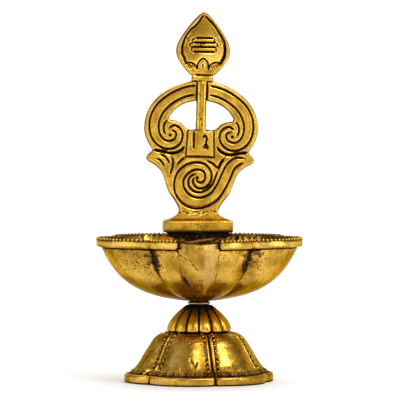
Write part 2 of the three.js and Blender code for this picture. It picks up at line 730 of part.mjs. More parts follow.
// The post and what it carries are turned together on the tie rod
const turnedGroup = new THREE.Group();
turnedGroup.rotation.z = radians(plaqueTurn);
turnedGroup.add(piece('post', postGeometry(), agedBrass, postBase));
stack.add(turnedGroup);

const plaqueGroup = new THREE.Group();
plaqueGroup.position.set(plaqueShift, 0, plinthBase);
plaqueGroup.rotation.x = Math.PI / 2;
plaqueGroup.add(piece('plaque', plaqueGeometry(), brass));
const leaning = new THREE.Group();
leaning.rotation.z = -radians(plaqueLean);
leaning.add(piece('spear', spearGeometry(), brass));
for (const [name, height] of rivetPlaces) {
  const rivet = piece(name, rivetGeometry(), agedBrass);
  rivet.position.y = height;
  leaning.add(rivet);
}
plaqueGroup.add(leaning);
turnedGroup.add(plaqueGroup);

// The lamp stands with the middle of its outer box over the origin
stack.updateMatrixWorld(true);
const middle = new THREE.Box3().setFromObject(stack, true).getCenter(new THREE.Vector3());
stack.position.set(-middle.x, -middle.y, 0);

const lamp = new THREE.Group();
lamp.add(stack);
export default lamp;
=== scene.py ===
# %% [markdown]
# A cast brass oil lamp
#
# The lamp is a household shrine lamp. A bell-shaped foot of six petals carries a ribbed dome, a
# collar and a five-lobed bowl, and a post in the bowl carries a scrolled plaque with a spear on it.
# Every casting was polished on its high places and keeps a black patina in its recesses.
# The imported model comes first, because it fixes where everything is. Each casting is then made
# again as a finer mesh in the same place, and the plain solid behind it is hidden.

# %% Load the frame
import math

import bpy
import numpy as np
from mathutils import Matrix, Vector, kdtree, noise
from mathutils.geometry import delaunay_2d_cdt


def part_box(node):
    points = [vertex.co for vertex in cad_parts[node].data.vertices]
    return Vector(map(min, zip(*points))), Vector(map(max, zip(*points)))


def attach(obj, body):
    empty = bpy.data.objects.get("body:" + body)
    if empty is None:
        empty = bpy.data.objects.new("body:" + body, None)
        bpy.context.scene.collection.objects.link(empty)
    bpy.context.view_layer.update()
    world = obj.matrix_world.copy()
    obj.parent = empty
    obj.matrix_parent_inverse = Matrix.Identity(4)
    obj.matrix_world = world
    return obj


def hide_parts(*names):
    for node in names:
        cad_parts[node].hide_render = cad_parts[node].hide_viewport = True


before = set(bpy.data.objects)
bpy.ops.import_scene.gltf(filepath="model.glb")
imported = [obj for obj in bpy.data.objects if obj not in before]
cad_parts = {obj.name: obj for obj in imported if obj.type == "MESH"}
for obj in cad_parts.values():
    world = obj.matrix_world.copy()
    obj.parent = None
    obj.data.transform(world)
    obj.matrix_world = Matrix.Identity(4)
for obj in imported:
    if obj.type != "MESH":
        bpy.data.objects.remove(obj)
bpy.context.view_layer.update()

MM = 0.001
rod_low, rod_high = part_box("tie_rod")
AXIS = np.array([(rod_low.x + rod_high.x) / 2, (rod_low.y + rod_high.y) / 2, 0.0]) / MM


def level(node, side):
    """Height in mm of a CAD node's underside (side 0) or top (side 1)."""
    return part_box(node)[side].z / MM


# %% [markdown]
# The camera
#
# The photograph was taken from nearly two metres with a long lens, a little above the bowl's rim:
# the rim is seen from 2.4 degrees above and the foot from 4.6, which gives the camera's height and
# distance. At the lamp the picture is 208 mm wide, and the lamp stands 4.5 mm left of its middle.

# %% Camera
PICTURE_WIDTH = 208.0
CAMERA_DISTANCE = 1855.0
CAMERA_HEIGHT = 149.0
PICTURE_MIDDLE = (4.5, 86.75)
SENSOR = 36.0

camera = bpy.data.objects.new("camera", bpy.data.cameras.new("camera"))
bpy.context.scene.collection.objects.link(camera)
camera.location = Vector((AXIS[0] + PICTURE_MIDDLE[0], AXIS[1] - CAMERA_DISTANCE, CAMERA_HEIGHT)) * MM
target = Vector((AXIS[0] + PICTURE_MIDDLE[0], AXIS[1], PICTURE_MIDDLE[1])) * MM
sight = target - camera.location
camera.rotation_euler = sight.to_track_quat("-Z", "Y").to_euler()
camera.data.sensor_width = SENSOR
camera.data.lens = SENSOR * sight.length / (PICTURE_WIDTH * MM)
camera.data.clip_end = 20.0
bpy.context.scene.camera = camera
print("lens (mm):", round(camera.data.lens, 1))

# %% [markdown]
# Floor and light
#
# Polished brass shows what stands round it. The photograph's table and backdrop are white, with
# large soft lights at both sides, while the room behind the camera is dimmer. So the faces turned
# to the viewer read as deep gold and the faces turned aside catch white. A bright room all round
# would be quicker to set up, but it would wash the gold out. A pale sweep of paper, a grey room and
# six soft panels give both: one lights the paper, and the others light the lamp.

# %% Floor and backdrop
PALE_GREY = (0.93, 0.93, 0.93, 1.0)


def sweep_mesh(width, front, back, radius, height, steps=16):
    """A floor that curves up into a backdrop, in metres."""
    profile = [(front, 0.0), (back - radius, 0.0)]
    for step in range(1, steps + 1):
        angle = math.pi / 2 * step / steps
        profile.append((back - radius + radius * math.sin(angle), radius * (1 - math.cos(angle))))
    profile.append((back, height))
    points = [(side * width / 2, y, z) for y, z in profile for side in (-1, 1)]
    faces = [(2 * i, 2 * i + 1, 2 * i + 3, 2 * i + 2) for i in range(len(profile) - 1)]
    mesh = bpy.data.meshes.new("sweep")
    mesh.from_pydata(points, [], faces)
    mesh.polygons.foreach_set("use_smooth", [True] * len(faces))
    return mesh


paper = bpy.data.materials.new("sweep_paper")
paper.use_nodes = True
paper_shader = paper.node_tree.nodes["Principled BSDF"]
paper_shader.inputs["Base Color"].default_value = PALE_GREY
paper_shader.inputs["Roughness"].default_value = 0.9

sweep = bpy.data.objects.new("sweep", sweep_mesh(width=6.0, front=-2.2, back=2.4, radius=0.5, height=3.0))
bpy.context.collection.objects.link(sweep)
sweep.data.materials.append(paper)
print("sweep of paper:", len(sweep.data.polygons), "faces")


# %% Soft panels and the room
def panel(name, place, aim, size, power):
    """A soft light in metres and watts, turned from its place towards a point."""
    light = bpy.data.lights.new(name, "AREA")
    light.shape = "RECTANGLE"
    light.size, light.size_y = size
    light.energy = power
    holder = bpy.data.objects.new(name, light)
    bpy.context.collection.objects.link(holder)
    holder.location = place
    holder.rotation_euler = (Vector(aim) - Vector(place)).to_track_quat("-Z", "Y").to_euler()


panel("left_panel", (-1.1, -0.6, 0.5), (0, 0, 0.09), (1.3, 0.9), 4.1)
panel("right_panel", (1.15, -0.45, 0.55), (0, 0, 0.09), (0.5, 1.0), 4.7)
panel("key_panel", (0.55, -0.95, 1.15), (0, 0, 0.05), (0.7, 0.45), 9.0)
panel("front_panel", (0.35, -2.4, 0.25), (0, 0, 0.12), (1.6, 0.9), 3.6)
panel("top_panel", (0.0, 0.1, 1.5), (0, 0, 0.05), (1.4, 1.0), 7.0)
panel("backdrop_panel", (0.0, 0.9, 2.1), (0, 2.2, 0.4), (2.6, 0.6), 32)

ROOM_BRIGHTNESS = 0.42
room = bpy.data.worlds.new("room")
bpy.context.scene.world = room
room.use_nodes = True
room_light = room.node_tree.nodes["Background"]
room_light.inputs["Color"].default_value = PALE_GREY
room_light.inputs["Strength"].default_value = ROOM_BRIGHTNESS
bpy.context.scene.view_settings.view_transform = "Standard"

# %% [markdown]
# Brass
#
# Cast brass isn't one colour. The rubbed faces are bright yellow gold with browner clouds, the
# recesses keep a nearly black patina that isn't metallic any more, and the cast skin is uneven and
# has fine pits. A painted picture of all this would fit one piece at one size only. So each mesh
# carries a patina number at every point, from 0 on a rubbed face to 1 in a recess, and one recipe of
# nodes serves every piece. In a few places the same number also carries painted shade: beside the
# bowl's creases, under its band, on the post under the plinth, round the spear's seat and where the
# foot stands on the floor. Below 0 stand the edges that hands have worn bright, and painted
# highlights along the plaque's grooves and edges and on the spear's blade. Two more numbers, tone and
# pitting, say where the brass is painted olive or pale and where its pits crowd. The olive is painted
# shade, except on the plinth, and the pale is painted light, on faces turned from or towards the lights.

# %% Nodes of a finish
class Finish:
    """A new material. Each method adds one node to it and gives back what the node puts out."""

    def __init__(self, name):
        self.material = bpy.data.materials.new(name)
        self.material.use_nodes = True
        self.nodes, self.links = self.material.node_tree.nodes, self.material.node_tree.links
        self.shader = self.nodes["Principled BSDF"].inputs
        self.place = self.nodes.new("ShaderNodeTexCoord").outputs["Object"]

    def feed(self, socket, value):
        """Give a socket a plain number, a colour or what another node puts out."""
        if isinstance(value, tuple):
            socket.default_value = (*value, 1.0)
        elif isinstance(value, (int, float)):
            socket.default_value = value
        else:
            self.links.new(value, socket)

    def texture(self, kind, scale, detail):
        """A pattern that lies still on the piece, with about scale spots in a metre."""
        node = self.nodes.new("ShaderNodeTex" + kind)
        for socket, value in (("Vector", self.place), ("Scale", scale), ("Detail", detail)):
            self.feed(node.inputs[socket], value)
        return node.outputs

    def number(self, title):
        """A number that the mesh carries at every point."""
        node = self.nodes.new("ShaderNodeAttribute")
        node.attribute_name = title
        return node.outputs["Fac"]

    def ramp(self, source, low, high, to_low=0.0, to_high=1.0, course="SMOOTHSTEP"):
        """A number that goes from to_low to to_high while the source goes from low to high."""
        node = self.nodes.new("ShaderNodeMapRange")
        node.interpolation_type = course
        sockets = ("Value", "From Min", "From Max", "To Min", "To Max")
        for socket, value in zip(sockets, (source, low, high, to_low, to_high)):
            self.feed(node.inputs[socket], value)
        return node.outputs["Result"]

    def maths(self, operation, first, second):
        node = self.nodes.new("ShaderNodeMath")
        node.operation = operation
        self.feed(node.inputs[0], first)
        self.feed(node.inputs[1], second)
        return node.outputs["Value"]

    def blend(self, factor, first, second):
        """The first colour where the factor is 0 and the second where it is 1."""
        node = self.nodes.new("ShaderNodeMix")
        node.data_type = "RGBA"
        for socket, value in zip((node.inputs["Factor"], *node.inputs[6:8]), (factor, first, second)):
            self.feed(socket, value)
        return node.outputs[2]

    def bump(self, height, strength, distance):
        """Make the surface look raised by a height, without moving the mesh."""
        node = self.nodes.new("ShaderNodeBump")
        for socket, value in (("Height", height), ("Strength", strength), ("Distance", distance)):
            self.feed(node.inputs[socket], value)
        self.feed(self.shader["Normal"], node.outputs["Normal"])


print("a finish can be mixed")

# %% Brass recipe
GOLD, OCHRE = (0.88, 0.49, 0.055), (0.62, 0.32, 0.025)
# The olive and pale colours mostly paint shade and light; the worn gold paints wear and highlights.
OLIVE, PAINTED_PALE, WEAR_AND_HIGHLIGHT_GOLD = (0.29, 0.17, 0.014), (0.64, 0.42, 0.13), (1.0, 0.64, 0.12)
FLECK, PIT = (0.25, 0.12, 0.01), (0.05, 0.022, 0.006)
BROWN, BLACK, PATINA_SHEEN = (0.17, 0.08, 0.018), (0.012, 0.007, 0.003), (0.64, 0.5, 0.34)
FLECK_SCALE, PIT_SCALE, PIT_PATCH_SCALE, DINT_SCALE = 900.0, 720.0, 45.0, 170.0
DINT_DEPTH = 0.0008


def casting_pits(finish, stray):
    """1 in a pit and 0 elsewhere. The mesh says where pits crowd, and stray ones lie in patches."""
    pit = finish.texture("Voronoi", PIT_SCALE, 0.0)
    patch = finish.texture("Noise", PIT_PATCH_SCALE, 2.0)["Fac"]
    hole = finish.ramp(pit["Distance"], 0.2, 0.42, 1.0, 0.0)
    chosen = finish.maths("MULTIPLY", hole, finish.ramp(pit["Color"], 0.42, 0.5))
    crowd = finish.maths("ADD", finish.number("pitting"), finish.ramp(patch, 0.56, 0.68, 0.0, stray))
    return finish.maths("MULTIPLY", chosen, crowd)


def brass(name, bright=GOLD, deep=OCHRE, clouds=90.0, polish=0.22, cast=0.35, pits=0.5):
    """Brass that is bright with deep clouds. clouds is their scale, polish the roughness of a rubbed
    face, cast how strong the mould's dints are and pits how dark the stray pits are."""
    finish = Finish(name)
    patina_and_light, tone = finish.number("patina_and_light"), finish.number("tone")
    # tone above 0 mixes in olive and below 0 a pale colour: mostly painted shade and painted light.
    pale = finish.ramp(finish.maths("MULTIPLY", tone, -1.0), 0.0, 1.0)
    # patina below 0 is wear on rubbed edges and painted highlights on grooves, edges and the spear's blade.
    wear_and_highlight = finish.ramp(finish.maths("MULTIPLY", patina_and_light, -1.0), 0.0, 1.0)
    cloud = finish.texture("Noise", clouds, 5.0)["Fac"]
    fleck = finish.texture("Noise", FLECK_SCALE, 3.0)["Fac"]
    uneven = finish.maths("MULTIPLY", finish.ramp(fleck, 0.3, 0.7, 0.6, 1.4), patina_and_light)
    pitted = casting_pits(finish, pits)

    colour = finish.blend(finish.ramp(cloud, 0.35, 0.68), bright, deep)
    layers = [(finish.ramp(tone, 0.0, 1.0), OLIVE), (pale, PAINTED_PALE), (wear_and_highlight, WEAR_AND_HIGHLIGHT_GOLD),
              (finish.ramp(fleck, 0.42, 0.66, 0.0, 0.3), FLECK), (finish.ramp(uneven, 0.08, 0.45), BROWN),
              (finish.ramp(uneven, 0.42, 0.78), BLACK), (pitted, PIT)]
    for share, layer in layers:
        colour = finish.blend(share, colour, layer)

    polished = finish.ramp(cloud, 0.3, 0.7, polish - 0.05, polish + 0.09)
    rough = finish.maths("ADD", polished, finish.ramp(uneven, 0.1, 0.8, 0.0, 0.35))
    rough = finish.maths("ADD", rough, finish.maths("MULTIPLY", pale, 0.25))
    looks = {"Base Color": colour, "Metallic": finish.ramp(uneven, 0.4, 0.9, 1.0, 0.15), "Roughness": rough,
             "Specular IOR Level": finish.ramp(uneven, 0.3, 0.7, 0.5, 0.08), "Specular Tint": PATINA_SHEEN}
    for socket, value in looks.items():
        finish.feed(finish.shader[socket], value)

    height = finish.maths("MULTIPLY", finish.texture("Noise", DINT_SCALE, 3.0)["Fac"], 0.6)
    height = finish.maths("ADD", height, finish.maths("MULTIPLY", fleck, 0.10))
    height = finish.maths("SUBTRACT", height, finish.maths("MULTIPLY", pitted, 0.3))
    finish.bump(height, cast, DINT_DEPTH)
    return finish.material


polished_brass = brass("polished_brass")
bowl_brass = brass("bowl_brass", (0.8, 0.48, 0.08), (0.33, 0.17, 0.015), clouds=85.0, cast=0.75, pits=0.9)
foot_brass = brass("foot_brass", (0.9, 0.53, 0.08), (0.38, 0.19, 0.02), clouds=95.0, polish=0.25,
                   cast=0.7, pits=0.9)
plaque_brass = brass("plaque_brass", (0.76, 0.43, 0.045), (0.42, 0.21, 0.015), clouds=110.0, polish=0.25)
dome_brass = brass("dome_brass", (0.88, 0.5, 0.06), OCHRE, polish=0.31, cast=0.5)
aged_brass = brass("aged_brass", (0.62, 0.37, 0.07), (0.36, 0.19, 0.03), polish=0.34, cast=0.5)
recipes = [polished_brass, bowl_brass, foot_brass, plaque_brass, dome_brass, aged_brass]
print("brass recipes:", [recipe.name for recipe in recipes])

# %% [markdown]
# Helpers for castings
#
# Most of the lamp goes round its axis. Blender's Spin tool turns only one round section, and these
# castings have lobes, so most meshes are made as rings of points joined by quads, and a rule says
# how each ring departs from a circle. Sizes are in millimetres from the lamp's own axis and become
# metres only when a mesh is written.

# %% Pieces and their meshes
def claim(piece, replaced):
    """Put a finished object in the scene on the lamp's one body."""
    bpy.context.collection.objects.link(piece)
    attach(piece, "root")
    if replaced:
        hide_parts(*replaced)
    print(f"{piece.name}: {len(piece.data.polygons)} faces")
    return piece


def add_piece(name, points, faces, material, slot, replaced, patina_and_light=None, sharp=35.0, **more):
    """Write a mesh in metres, hide the CAD nodes that it stands for and say what it is made of.
    Patina and any other number at every point, such as tone or pitting, go to the brass recipe."""
    mesh = bpy.data.meshes.new(name)
    mesh.from_pydata(((np.asarray(points) + AXIS) * MM).tolist(), [], faces)
    mesh.polygons.foreach_set("use_smooth", [True] * len(mesh.polygons))
    for title, values in {"patina_and_light": patina_and_light, **more}.items():
        if values is not None:
            layer = mesh.attributes.new(title, "FLOAT", "POINT")
            layer.data.foreach_set("value", np.clip(values, -1.0, 1.0).astype(np.float32))
    mesh.set_sharp_from_angle(angle=math.radians(sharp))
    mesh.materials.append(material)
    return claim(bpy.data.objects.new(name, mesh), replaced)


def ring_faces(rings, columns, loop=True, caps=False):
    """Quads between closed rings. A loop joins the last ring to the first; caps close two ends."""
    faces = []
    for ring in range(rings if loop else rings - 1):
        low, high = ring * columns, (ring + 1) % rings * columns
        for column in range(columns):
            following = (column + 1) % columns
            faces.append((low + column, low + following, high + following, high + column))
    if caps:
        faces.append(tuple(reversed(range(columns))))
        faces.append(tuple(range((rings - 1) * columns, rings * columns)))
    return faces


print("quads on a closed ring of 3 rings by 4 columns:", len(ring_faces(3, 4)))

# %% Rings round the axis
def smoothstep(value, low, high):
    """0 up to low and 1 from high on, with a smooth climb between."""
    share = np.clip((np.asarray(value, float) - low) / (high - low), 0.0, 1.0)
    return share * share * (3 - 2 * share)


def hump(distance, width):
    """1 where a distance is 0, and nearly 0 from two widths on."""
    return np.exp(-((distance / width) ** 2))


def to_drawn_line(bearing, radius, height, line):
    """Distance of a ring of points to a line drawn on the wall, which is unrolled at the radius."""
    spots = np.column_stack([bearing * radius, np.full(len(bearing), height)])
    return np.linalg.norm(spots[:, None] - line[None], axis=2).min(axis=1)


def patches(*coordinates):
    """Smooth noise from about -1 to 1, with patches about one unit of the coordinates wide."""
    return np.array([noise.noise(Vector(place)) for place in np.broadcast(*coordinates)])


def at_bearing(bearing, radius, height):
    """Points at a bearing from the lamp's front towards +X."""
    radius = radius + 0 * bearing
    return np.stack([radius * np.sin(bearing), -radius * np.cos(bearing), height + 0 * radius], axis=-1)


def lumpy(points, size):
    """Smooth noise at every point, with lumps of a size in mm."""
    return np.array([noise.noise(Vector(point) / size) for point in np.asarray(points)])


def turned(points, angle):
    """Points turned round the lamp's axis, their front towards +X."""
    x, y, z = points[..., 0], points[..., 1], points[..., 2]
    cosine, sine = math.cos(angle), math.sin(angle)
    return np.stack([x * cosine - y * sine, x * sine + y * cosine, z], -1)


def lobe_radius(bearing, lobes, peak, crease):
    """Radius of a ring of equal round lobes whose arcs meet in creases."""
    half = math.pi / lobes
    place = bearing / (2 * half)
    inside = (place - np.round(place)) * 2 * half
    centre = (peak**2 - crease**2) / (2 * (peak - crease * math.cos(half)))
    return centre * np.cos(inside) + np.sqrt((peak - centre) ** 2 - (centre * np.sin(inside)) ** 2)


def wrapped(bearing):
    """The same bearing, between half a turn to the left and half a turn to the right."""
    return (np.asarray(bearing) + math.pi) % (2 * math.pi) - math.pi


def crowded_bearings(crowds, plain):
    """Bearings all round, with extra ones on both sides of each (bearing, steps) in crowds."""
    near = [middle + side * np.asarray(steps) for middle, steps in crowds for side in (-1, 1)]
    near = wrapped(np.concatenate(near))
    spread = np.linspace(-math.pi, math.pi, plain, endpoint=False)
    apart = np.abs(wrapped(spread[:, None] - near[None, :])).min(axis=1)
    every = np.sort(np.concatenate([near, spread[apart > 0.012]]))
    return every[np.concatenate([[True], np.diff(every) > 1e-4])]


print("a ring of five lobes at a crease:", round(float(lobe_radius(math.pi / 5, 5, 1.0, 0.85)), 3))

# %% Curves
def bezier(points, shares):
    """Points of a curve that starts at the first of four points and ends at the last."""
    a, b, c, d = (np.array(point, float) for point in points)
    t = np.asarray(shares, float)[:, None]
    return (1 - t) ** 3 * a + 3 * (1 - t) ** 2 * t * b + 3 * (1 - t) * t**2 * c + t**3 * d


def inward(profile):
    """Unit normals of a profile of (radius, height) points, to the left of its direction."""
    along = np.gradient(profile, axis=0)
    along /= np.linalg.norm(along, axis=1)[:, None]
    return np.stack([-along[:, 1], along[:, 0]], axis=1)


def spline(points, spacing):
    """Centripetal Catmull-Rom curve through (u, v) points, at an even spacing."""
    points = np.asarray(points, float)
    ends = [2 * points[0] - points[1], 2 * points[-1] - points[-2]]
    knots = np.vstack([ends[0], points, ends[1]])
    curve = [points[0]]
    for a, b, c, d in zip(knots, knots[1:], knots[2:], knots[3:]):
        pairs = ((a, b), (b, c), (c, d))
        times = np.cumsum([0.0] + [math.sqrt(np.linalg.norm(q - p)) for p, q in pairs])
        for t in np.linspace(times[1], times[2], 24)[1:]:
            first = [between(*pair, times[k], times[k + 1], t) for k, pair in enumerate(pairs)]
            second = [between(first[k], first[k + 1], times[k], times[k + 2], t) for k in (0, 1)]
            curve.append(between(second[0], second[1], times[1], times[2], t))
    return even(np.array(curve), spacing)


def between(first, second, start, end, t):
    """The point at time t on the way from first, at the start, to second, at the end."""
    share = (t - start) / (end - start)
    return first * (1 - share) + second * share


def even(curve, spacing):
    """The same line with points at an even spacing."""
    steps = np.linalg.norm(np.diff(curve, axis=0), axis=1)
    travelled = np.concatenate([[0.0], np.cumsum(steps)])
    count = max(2, int(round(travelled[-1] / spacing)) + 1)
    wanted = np.linspace(0.0, travelled[-1], count)
    return np.stack([np.interp(wanted, travelled, curve[:, k]) for k in range(curve.shape[1])], axis=1)


print("a curve of 10 mm with a point at every mm:", len(spline([(0, 0), (4, 0), (10, 0)], 1.0)), "points")

# %% [markdown]
# The bowl
#
# The bowl is one casting: five round lobes whose arcs meet in creases, a flat band round the rim,
# and at the front a prow of two flat facets that makes the pouring spout. It could be sculpted, but
# its section is the same all round and only the radius changes, so it is swept round the axis ring
# by ring. The columns crowd together at the creases and at the spout, where the shape turns
# sharply. The inside was never filed, so it keeps the lumps of the mould.

# %% Bowl sizes
BOWL_LOBES = 5
BOWL_RADIUS, BOWL_CREASE = 52.5, 44.5
BOWL_BASE, BOWL_TOP = level("bowl", 0), level("bowl", 1)
BOWL_HEIGHT = BOWL_TOP - BOWL_BASE
BOSS_RADIUS, LOBES_GROW = 5.8, 11.0
BORE = 2.75
BOWL_TURN, KEEL_FLAT = math.radians(2), 0.018
BAND_HEIGHT, BAND_PROUD, BAND_ROUND = 4.2, 2.3, 0.6
WALL, FLOOR = 2.6, 3.4
WALL_RADIUS = BOWL_RADIUS - BAND_PROUD
WALL_HEIGHT = BOWL_HEIGHT - BAND_HEIGHT
SPOUT_LEFT, KEEL, SPOUT_RIGHT = (math.radians(bearing) for bearing in (-13.8, -0.6, 9.8))
SPOUT_PROUD, LIP_DROP, HOLLOW = 4.0, 1.2, 1.35

creases = [(2 * lobe + 1) * math.pi / BOWL_LOBES for lobe in range(BOWL_LOBES)]
fine_steps = np.linspace(0.0, 1.0, 13) ** 1.8
crowds = [(crease, 0.16 * fine_steps) for crease in creases]
crowds += [(KEEL, np.linspace(0, KEEL - SPOUT_LEFT - 0.015, 34))]
crowds += [(end, np.array([0.0015, 0.005, 0.011])) for end in (SPOUT_LEFT, SPOUT_RIGHT)]
bearings = crowded_bearings(crowds, 260)
in_spout = (bearings > SPOUT_LEFT) & (bearings < SPOUT_RIGHT)
turn = bearings * BOWL_LOBES / (2 * math.pi) + 0.5
past_crease = (turn - np.round(turn)) * 2 * math.pi / BOWL_LOBES
from_crease = np.abs(past_crease)
towards_spout = past_crease * np.sign(bearings) < 0
print("bowl columns:", len(bearings))


# %% Bowl rings
def to_keel(bearing):
    """1 on the spout's keel, falling to 0 at both ends of the rim band."""
    facet = np.where(bearing < KEEL, KEEL - SPOUT_LEFT, SPOUT_RIGHT - KEEL)
    return np.clip(1 - (np.abs(bearing - KEEL) - KEEL_FLAT) / (facet - KEEL_FLAT), 0.0, 1.0)


def bowl_place(bearing, radius, height, furrow=0.0):
    """Points of the bowl at a radius and height: lobes, spout keel and a furrow in the creases."""
    lobe = lobe_radius(bearing, BOWL_LOBES, BOWL_RADIUS, BOWL_CREASE) / BOWL_RADIUS
    lobing = smoothstep(radius, BOSS_RADIUS, BOSS_RADIUS + LOBES_GROW)
    keel = SPOUT_PROUD * to_keel(bearing) ** HOLLOW * smoothstep(radius, BOSS_RADIUS, 0.6 * WALL_RADIUS)
    return at_bearing(bearing + BOWL_TURN, radius * (1 + (lobe - 1) * lobing) + keel - furrow, height)


def lumps(points, size, height):
    """The points moved up and outwards by the lumps of an unfiled casting."""
    shift = (lumpy(points, size) + 0.5 * lumpy(points * 2.3, size))[:, None] * height
    outwards = points / np.maximum(np.linalg.norm(points[:, :2], axis=1), 1.0)[:, None]
    return points + shift * (outwards * [0.5, 0.5, 0.0] + [0.0, 0.0, 1.0])


print("spout from", round(math.degrees(SPOUT_LEFT), 1), "to", round(math.degrees(SPOUT_RIGHT), 1), "degrees")

# %% Marks and colours of the bowl
FLOW_RADIUS = 48
FLOW_LINE = [(-0.255, 27.1), (-0.216, 24.7), (-0.166, 23.4), (-0.126, 22.7), (-0.075, 19.2), (-0.044, 17.6)]
SMUDGE = (-0.192, 11.4)
WIDE_SHADED_VALLEY, NARROW_VALLEY, BACK_FROM = 7.5, 1.5, 2.5
RIGHT_FACET_END = [(5.5, 0.10), (8.8, 0.14), (15.0, 0.165), (27.6, 0.171)]
flow_line = spline([(bearing * FLOW_RADIUS, height) for bearing, height in FLOW_LINE], 0.2)


def flow_marks(radius, height):
    """A cold seam across the left facet and a smudge of patina below it."""
    away = to_drawn_line(bearings, FLOW_RADIUS, height, flow_line)
    across, along = (bearings - SMUDGE[0]) * radius, height - SMUDGE[1]
    return 0.5 * hump(away, 0.5) + 0.9 * hump(across + 0.36 * along, 1.45) * hump(along, 3.5)


def facet_light_and_shade(height):
    """Painted shade in olive low on the bowl, on its side lobes and on the spout's left facet, and painted
    light in pale on the right facet.
    """
    mottle = patches(24 * bearings, 0.22 * height, 6.0)
    right_end = np.interp(height, *zip(*RIGHT_FACET_END))
    right_side = smoothstep(bearings, KEEL + 0.01, KEEL + 0.05) * (0.8 + 0.9 * mottle)
    right_side *= 1 - smoothstep(bearings, right_end - 0.05, right_end)
    shaded_left_facet = smoothstep(height - np.interp(bearings, *zip(*FLOW_LINE)), -1.0, 3.0) * (0.8 + 0.8 * mottle)
    shaded_left_facet *= smoothstep(bearings, FLOW_LINE[0][0], FLOW_LINE[0][0] + 0.06)
    shaded_left_facet *= 1 - smoothstep(bearings, KEEL - 0.06, KEEL - KEEL_FLAT)
    # Olive low on the bowl is a painted shade, where the lower wall would show the shaded table.
    low = smoothstep(-height, -13.5, -7.0) * (1 - 0.6 * hump(bearings - KEEL, 0.03)) * (1 - right_side)
    lobes = 0.24 * smoothstep(bearings, 0.4, 0.9) + 0.13 * smoothstep(-bearings, 0.4, 0.9)
    painted_olive_shade = 0.8 * shaded_left_facet + (0.7 * low + lobes) * (1 + mottle)
    return np.clip(painted_olive_shade, 0, 1) - 0.85 * right_side * (height > 5.0)


def wall_patina_and_shade(radius, height, points):
    """Patina in the creases; patina and painted shade in a ragged valley on the side of each that faces
    the spout; patina along the spout; and stains."""
    aside = from_crease * radius
    line = hump(aside, 0.45) * (0.2 + 0.8 * smoothstep(height, 10.5, 17))
    # The valley is patina and a painted shade, wide on the side of a crease that faces the spout.
    wide = np.where(towards_spout & (np.abs(bearings) < BACK_FROM), WIDE_SHADED_VALLEY, NARROW_VALLEY)
    wide = wide * smoothstep(height, 9, 21) + 0.2
    ragged = 0.25 * patches(12 * bearings, 0.25 * height, 2.0)
    valley_patina_and_shade = 0.66 * smoothstep(height, 9, 18) * (1 - smoothstep(aside / wide + ragged, 0.1, 1.1))
    spout_edges = sum(hump((bearings - end) * radius, 0.45) for end in (SPOUT_LEFT, SPOUT_RIGHT))
    stained = np.maximum(smoothstep(-aside, -14, -2) * smoothstep(height, 12, 24),
                         0.7 * smoothstep(height, WALL_HEIGHT - 5, WALL_HEIGHT)) * ~in_spout
    shade = np.maximum(line, valley_patina_and_shade) + 0.32 * spout_edges * smoothstep(height / WALL_HEIGHT, 0.2, 0.5)
    shade += stained * np.clip(0.2 + 1.2 * lumpy(points, 1.8), 0, 0.5)
    return shade + flow_marks(radius, height) + 0.9 * hump(height, 1.0)


def wall_pits(radius, height):
    """Pits crowd beside the creases and under the band."""
    near_crease = smoothstep(-from_crease * radius, -19, -5) * smoothstep(height, 9, 18)
    near_band = 0.7 * smoothstep(height, WALL_HEIGHT - 9, WALL_HEIGHT - 3) * ~in_spout
    return np.maximum(near_crease, near_band)


print("cold seam (mm):", round(0.2 * (len(flow_line) - 1), 1))

# %% Bowl wall
rings, shades, tones, pitting = [], [], [], []


def bowl_ring(points, shade, tone=0.0, pits=0.0):
    """Keep one ring of the bowl, with its patina, tone and pitting at every point."""
    rings.append(points)
    for rows, value in ((shades, shade), (tones, tone), (pitting, pits)):
        rows.append(value + 0 * bearings)


reach = WALL_RADIUS - BOSS_RADIUS
wall_shares = np.concatenate([np.linspace(0.0, 0.93, 62), np.linspace(0.94, 1.0, 14)])
wall_corners = [(BOSS_RADIUS, 0.1), (BOSS_RADIUS + 0.61 * reach, 0.09 * WALL_HEIGHT),
                (BOSS_RADIUS + 0.84 * reach, 0.42 * WALL_HEIGHT), (WALL_RADIUS, WALL_HEIGHT)]
wall_curve = bezier(wall_corners, wall_shares)
bowl_ring(at_bearing(bearings + BOWL_TURN, BORE, 0.0), 0.6)
for radius, height in wall_curve[:-1]:
    rise, aside = height / WALL_HEIGHT, from_crease * radius
    furrow = (0.25 + 0.5 * rise) * hump(aside, 0.5 + 0.5 * rise) * smoothstep(radius, BOSS_RADIUS, 30)
    # Dark under the band: patina in its furrow and a painted shadow under its overhang.
    under_band_patina_and_shadow = hump(WALL_HEIGHT - 0.2 - height, 0.45 * (1 + 1.2 * hump(aside, 4))) * ~in_spout
    points = bowl_place(bearings, radius, height, furrow + 0.4 * under_band_patina_and_shadow)
    bowl_ring(points, wall_patina_and_shade(radius, height, points) + under_band_patina_and_shadow, facet_light_and_shade(height),
              wall_pits(radius, height))
print("wall rings:", len(rings))

# %% Rim band and spout lip
corner = np.linspace(0, math.pi / 2, 5)
band = [(BAND_PROUD * share, 0.05 + 0.1 * share, 1 - share) for share in (0.05, 0.3, 0.7)]
band += [(BAND_PROUD - BAND_ROUND * (1 - math.sin(a)), 0.2 + BAND_ROUND * (1 - math.cos(a)), 0.1)
         for a in corner]
band += [(BAND_PROUD, rise, -0.8) for rise in (1.3, 2.0, 2.7)]
band += [(BAND_PROUD - BAND_ROUND * (1 - math.cos(a)), BAND_HEIGHT - BAND_ROUND * (1 - math.sin(a)), 0.95)
         for a in corner[1:]]
band += [(BAND_PROUD - 1.0, BAND_HEIGHT - 0.15, 1.0), (BAND_PROUD - 1.7, BAND_HEIGHT - 0.25, 1.0)]
band += [(BAND_PROUD - 2.3, BAND_HEIGHT - 0.05, 0.6), (BAND_PROUD - 3.4, BAND_HEIGHT, 0.35)]

